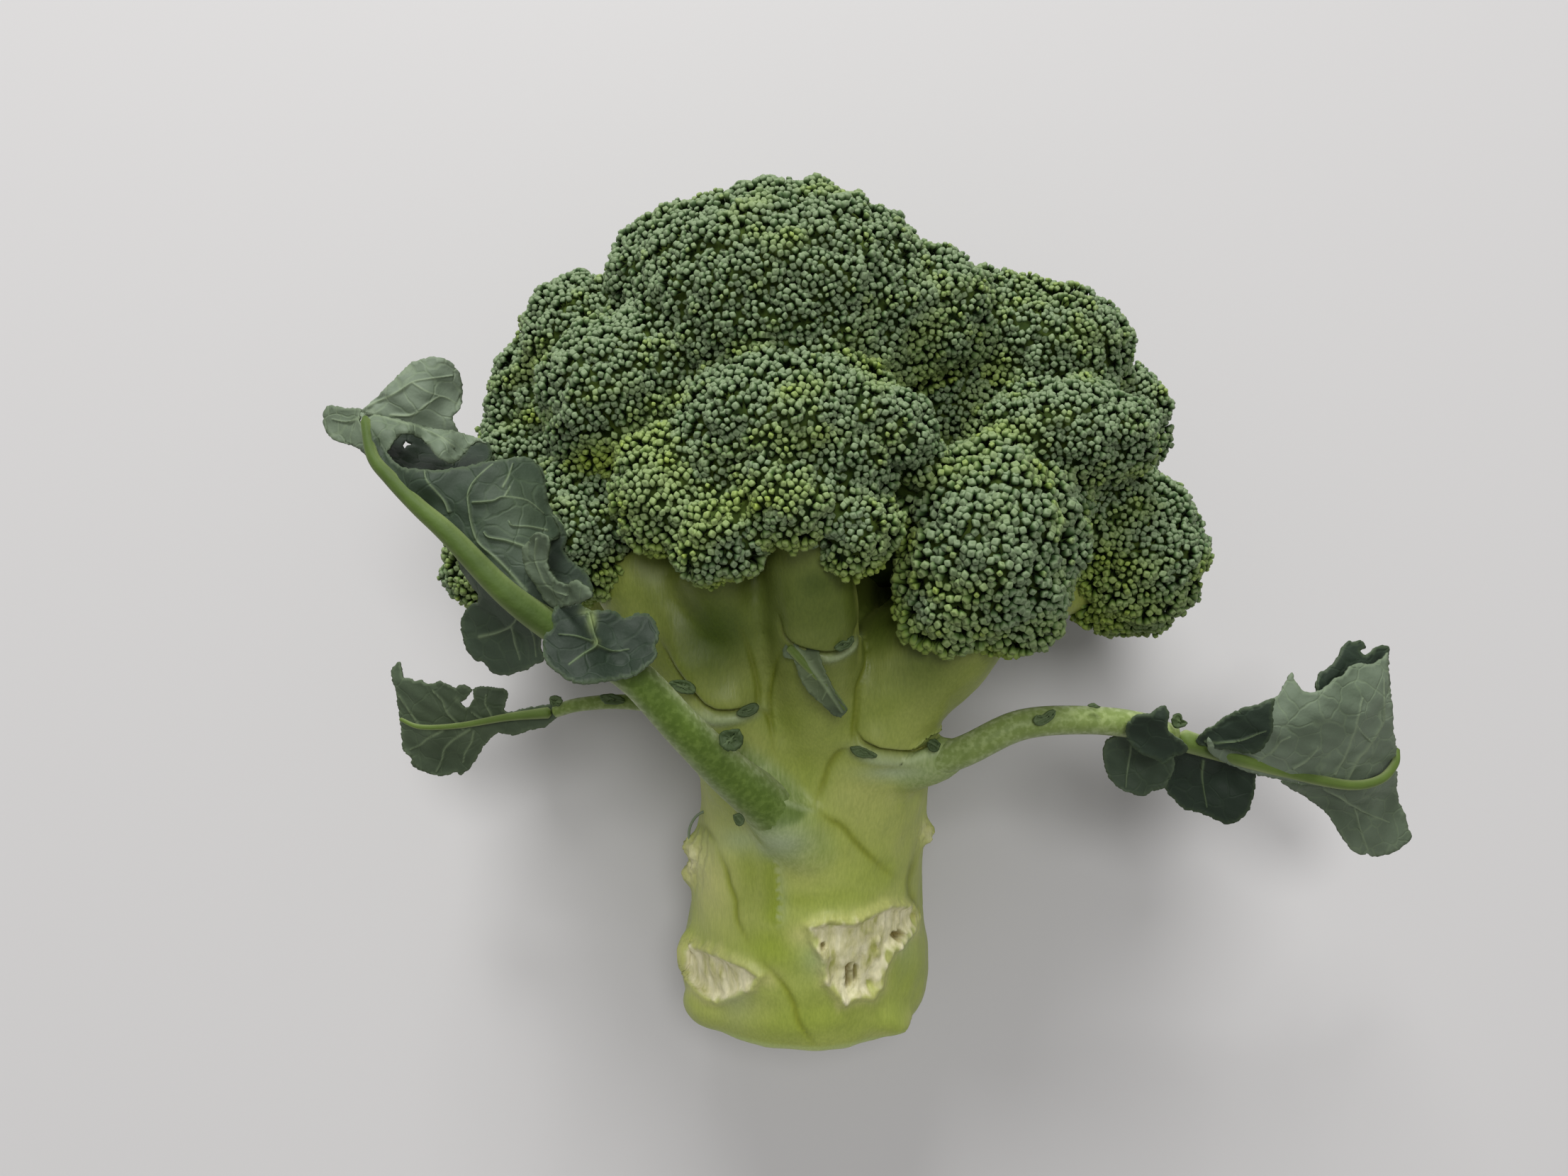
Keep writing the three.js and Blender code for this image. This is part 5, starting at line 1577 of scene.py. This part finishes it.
def noise(tree, scale, detail, stretch=(1, 1, 1), turn=(0, 0, 0)):
    """Noise over the object, with scale counted per metre."""
    coordinates = tree.nodes.new("ShaderNodeTexCoord")
    mapping = tree.nodes.new("ShaderNodeMapping")
    mapping.inputs["Scale"].default_value = stretch
    mapping.inputs["Rotation"].default_value = turn
    texture = tree.nodes.new("ShaderNodeTexNoise")
    texture.inputs["Scale"].default_value = scale
    texture.inputs["Detail"].default_value = detail
    tree.links.new(coordinates.outputs["Object"], mapping.inputs["Vector"])
    tree.links.new(mapping.outputs["Vector"], texture.inputs["Vector"])
    return texture.outputs["Fac"]


def bump(tree, shader, height, distance):
    """Adds a fine relief, in metres, to a shader's normal."""
    node = tree.nodes.new("ShaderNodeBump")
    node.inputs["Strength"].default_value = 1
    node.inputs["Distance"].default_value = distance
    tree.links.new(height, node.inputs["Height"])
    if shader.inputs["Normal"].links:
        tree.links.new(shader.inputs["Normal"].links[0].from_socket, node.inputs["Normal"])
    tree.links.new(node.outputs["Normal"], shader.inputs["Normal"])


def vein_net(tree):
    """A net of fine veins: dark towards 0 along them, 1 between."""
    coordinates = tree.nodes.new("ShaderNodeTexCoord")
    waver = tree.nodes.new("ShaderNodeTexNoise")
    waver.inputs["Scale"].default_value = 160
    bent = mix(tree, 0.0035, coordinates.outputs["Object"], waver.outputs["Color"], "ADD")
    cells = tree.nodes.new("ShaderNodeTexVoronoi")
    cells.feature = "DISTANCE_TO_EDGE"
    cells.inputs["Scale"].default_value = 210
    tree.links.new(coordinates.outputs["Object"], waver.inputs["Vector"])
    tree.links.new(bent, cells.inputs["Vector"])
    return ramp(tree, [(0.01, (0, 0, 0)), (0.06, (1, 1, 1))], cells.outputs["Distance"])


def plain(name, colour, roughness):
    """A material of one colour."""
    material, _, shader = new_material(name, roughness)
    shader.inputs["Base Color"].default_value = (*colour, 1)
    return material


def bud_material():
    """Grey-green buds with tips painted pale, as waxy bloom and a painted highlight, and with painted
    shade at their roots; the young ones are yellow-green.
    """
    material, tree, shader = new_material("flower_buds", 0.6, 0.3)
    yellow, height, chance, _ = attribute(tree, "bud")
    skin = ramp(tree, [(0.0, (0.040, 0.088, 0.022)), (0.5, (0.066, 0.125, 0.038)),
                       (1.0, (0.105, 0.17, 0.066))], chance)
    fresh = ramp(tree, [(0.0, (0.10, 0.17, 0.018)), (1.0, (0.22, 0.30, 0.035))], chance)
    body = mix(tree, yellow, skin, fresh)
    tip = mix(tree, yellow, (0.20, 0.262, 0.145), (0.29, 0.38, 0.07))
    # The pale bloom colour is laid on towards each tip as a painted highlight.
    lit = ramp(tree, [(0.5, (0, 0, 0)), (1.0, (1, 1, 1))], height)
    # Painted shade, darkest at the buds' roots between them.
    depth = ramp(tree, [(0.0, (0.16, 0.18, 0.14)), (0.6, (1, 1, 1))], height)
    colour = mix(tree, lit, body, tip)
    colour = times(tree, colour, depth)
    tree.links.new(colour, shader.inputs["Base Color"])
    return material


def shaded_core_material():
    """Dark green flesh between the buds' roots, darkened as painted shade, with paler stems showing
    here and there.
    """
    material, tree, shader = new_material("floret_core", 0.8, 0.1)
    colour = ramp(tree, [(0.35, (0.020, 0.040, 0.008)), (0.7, (0.08, 0.12, 0.018))],
                  noise(tree, 260, 3))
    tree.links.new(colour, shader.inputs["Base Color"])
    return material


def scar_cork(tree, tilt):
    """The pale fibrous floor of a torn scar."""
    return ramp(tree, [(0.3, (0.34, 0.35, 0.10)), (0.42, (0.53, 0.51, 0.27)),
                       (0.6, (0.68, 0.65, 0.43))], noise(tree, 1, 5, (420, 110, 420), tilt))


def cut_flesh(tree, radius):
    """The pale face of the cut end, with a greener ring near its edge."""
    return ramp(tree, [(0.0, (0.62, 0.66, 0.42)), (0.72, (0.66, 0.70, 0.42)),
                       (0.80, (0.42, 0.52, 0.20)), (0.86, (0.60, 0.66, 0.36)),
                       (1.0, (0.36, 0.44, 0.12))], radius)


def stalk_material():
    """Green waxy skin with cream and yellow patches, olive patches darkened by painted shade, painted
    shade in its creases, corky scars and fine fibres.
    """
    material, tree, shader = new_material("stalk_skin", 0.45, 0.3)
    cream, olive_and_shade, wax, fresh = attribute(tree, "skin")
    scar, crease_shade, pit, stem = attribute(tree, "marks")
    cut, radius, foot, furrow = attribute(tree, "butt")
    tilt = (math.radians(-STALK_TILT), 0, 0)
    fibre = noise(tree, 1, 3, (1500, 130, 1500), tilt)
    cloud = noise(tree, 75, 3)
    fleck = noise(tree, 1, 2, (2600, 700, 2600), tilt)
    green = ramp(tree, [(0.3, (0.285, 0.345, 0.065)), (0.7, (0.37, 0.415, 0.11))], cloud)
    colour = mix(tree, fresh, green, (0.23, 0.30, 0.025))
    colour = mix(tree, cream, colour, (0.44, 0.455, 0.155))
    colour = mix(tree, furrow, colour, (0.225, 0.27, 0.02))
    # Olive green, darkened as painted shade under the crown.
    colour = mix(tree, olive_and_shade, colour, (0.050, 0.078, 0.007))
    waxy_base = ramp(tree, [(0.35, (0.21, 0.285, 0.085)), (0.7, (0.29, 0.355, 0.15))], fibre)
    colour = mix(tree, stem, colour, waxy_base)
    green_foot = ramp(tree, [(0.3, (0.095, 0.155, 0.022)), (0.7, (0.135, 0.20, 0.04))], cloud)
    colour = mix(tree, foot, colour, green_foot)
    colour = mix(tree, wax, colour, (0.33, 0.40, 0.23))
    # Painted shade in the creases along the pockets and grooves.
    colour = mix(tree, crease_shade, colour, (0.13, 0.14, 0.015))
    colour = mix(tree, scar, colour, scar_cork(tree, tilt))
    colour = mix(tree, pit, colour, (0.20, 0.16, 0.05))
    colour = mix(tree, cut, colour, cut_flesh(tree, radius))
    streaks = ramp(tree, [(0.3, (0.95, 0.95, 0.93)), (0.7, (1.05, 1.04, 1.03))], fibre)
    flecks = ramp(tree, [(0.35, (0.93, 0.94, 0.90)), (0.65, (1.06, 1.05, 1.05))], fleck)
    colour = times(tree, colour, streaks)
    colour = times(tree, colour, flecks)
    tree.links.new(colour, shader.inputs["Base Color"])
    bump(tree, shader, fibre, 0.00003)
    bump(tree, shader, fleck, 0.00005)
    return material


def leaf_material():
    """A matt blue-green blade with pale veins, a fine net between them and a dusty bloom; its tone
    paints light and shade on each lobe, and its midrib has a painted sheen along its edges.
    """
    material, tree, shader = new_material("leaf_blade", 0.62, 0.25)
    vein, light_and_shade_tone, rib, side = attribute(tree, "leaf")
    bloom = noise(tree, 85, 4)
    skin = ramp(tree, [(0.0, (0.012, 0.022, 0.013)), (0.35, (0.026, 0.042, 0.025)),
                       (0.52, (0.047, 0.069, 0.041)), (0.7, (0.080, 0.108, 0.068)),
                       (0.85, (0.10, 0.133, 0.086)),
                       (1.0, (0.145, 0.185, 0.130))], light_and_shade_tone)
    dusty = ramp(tree, [(0.35, (0.82, 0.84, 0.80)), (0.65, (1.28, 1.25, 1.28))], bloom)
    skin = times(tree, skin, dusty)
    net = mix(tree, rib, vein_net(tree), (1, 1, 1))
    paler = times(tree, skin, (1.16, 1.16, 1.1))
    skin = mix(tree, net, paler, skin)
    vein_colour = mix(tree, light_and_shade_tone, (0.085, 0.125, 0.055), (0.19, 0.24, 0.15))
    colour = mix(tree, vein, skin, vein_colour)
    deep = mix(tree, light_and_shade_tone, (0.045, 0.080, 0.011), (0.105, 0.160, 0.029))
    edge = mix(tree, light_and_shade_tone, (0.15, 0.20, 0.07), (0.31, 0.37, 0.17))
    # Painted sheen along the midrib's edges as seen from above.
    stem = mix(tree, side, deep, edge)
    stem = times(tree, stem, dusty)
    colour = mix(tree, rib, colour, stem)
    tree.links.new(colour, shader.inputs["Base Color"])
    bump(tree, shader, net, 0.00007)
    bump(tree, shader, noise(tree, 330, 3), 0.00025)
    bump(tree, shader, noise(tree, 1400, 3), 0.00005)
    return material


def petiole_material():
    """A green leaf stalk with a painted sheen along its edges, fine streaks and flecks of wax."""
    material, tree, shader = new_material("leaf_stalk", 0.5, 0.25)
    side, pale, along, _ = attribute(tree, "stem")
    fleck = noise(tree, 1, 3, (900, 900, 900))
    deep = mix(tree, pale, (0.085, 0.145, 0.014), (0.26, 0.325, 0.10))
    near_base = ramp(tree, [(0.29, (1, 1, 1)), (0.43, (0, 0, 0))], along)
    base_pale = ramp(tree, [(0, (0.32, 0.32, 0.32)), (1, (0.88, 0.88, 0.88))], pale)
    base = times(tree, near_base, base_pale)
    # Painted sheen: paler along the stalk's edges as seen from above.
    colour = mix(tree, side, deep, (0.29, 0.345, 0.155))
    colour = mix(tree, base, colour, (0.25, 0.32, 0.115))
    flecks = ramp(tree, [(0.45, (0.88, 0.9, 0.85)), (0.62, (1.25, 1.2, 1.5))], fleck)
    streaks = ramp(tree, [(0.3, (0.88, 0.9, 0.88)), (0.7, (1.12, 1.1, 1.2))],
                   noise(tree, 1, 3, (700, 160, 700), (0, 0, 0.7)))
    colour = times(tree, colour, flecks)
    colour = times(tree, colour, streaks)
    tree.links.new(colour, shader.inputs["Base Color"])
    bump(tree, shader, fleck, 0.00008)
    return material


# ------------------------------------------------------------------ scene
def add_camera():
    """Looks down on the head from where the photograph was taken."""
    camera = bpy.data.objects.new("camera", bpy.data.cameras.new("camera"))
    camera.data.lens = CAMERA_LENS
    camera.data.sensor_width = SENSOR
    camera.data.clip_start = 0.01
    camera.location = (np.array([0, 0, CAMERA_HEIGHT]) - HEAD_CENTRE) * MM
    camera.rotation_euler = (math.radians(CAMERA_TILT), 0, 0)
    bpy.context.scene.collection.objects.link(camera)
    bpy.context.scene.camera = camera


def add_floor():
    """The white table."""
    size = 4000
    corners = [(-size, -size, 0), (size, -size, 0), (size, size, 0), (-size, size, 0)]
    white = plain("floor", (0.53, 0.522, 0.52), 0.7)
    make_object("floor", corners, [(0, 1, 2, 3)], white)


def add_light(name, place, size, power):
    """A round lamp, in metres and watts, that shines on the middle of the head."""
    light = bpy.data.lights.new(name, "AREA")
    light.shape = "DISK"
    light.size = size
    light.energy = power
    lamp = bpy.data.objects.new(name, light)
    lamp.location = place
    lamp.rotation_euler = (-Vector(place)).to_track_quat("-Z", "Y").to_euler()
    bpy.context.scene.collection.objects.link(lamp)


def add_lights():
    """A window behind the head, a ceiling lamp over it and a faint light all round."""
    world = bpy.data.worlds.new("room")
    world.use_nodes = True
    world.node_tree.nodes["Background"].inputs["Color"].default_value = (1, 0.985, 0.985, 1)
    world.node_tree.nodes["Background"].inputs["Strength"].default_value = 0.35
    bpy.context.scene.world = world
    add_light("window", (-0.3, 1.62, 1.02), 0.75, 36)
    add_light("ceiling", (0.1, 0.3, 1.85), 0.7, 13)


def main():
    """Builds the scene round the frame."""
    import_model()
    bpy.context.scene.view_settings.view_transform = "Standard"
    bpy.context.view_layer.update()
    add_camera()
    add_floor()
    add_lights()
    materials = {"bud": bud_material(), "core": shaded_core_material(), "leaf": leaf_material(),
                 "stalk": stalk_material(), "petiole": petiole_material()}
    make_crown(materials)
    make_stalk(materials)
    add_leaves(materials)


main()
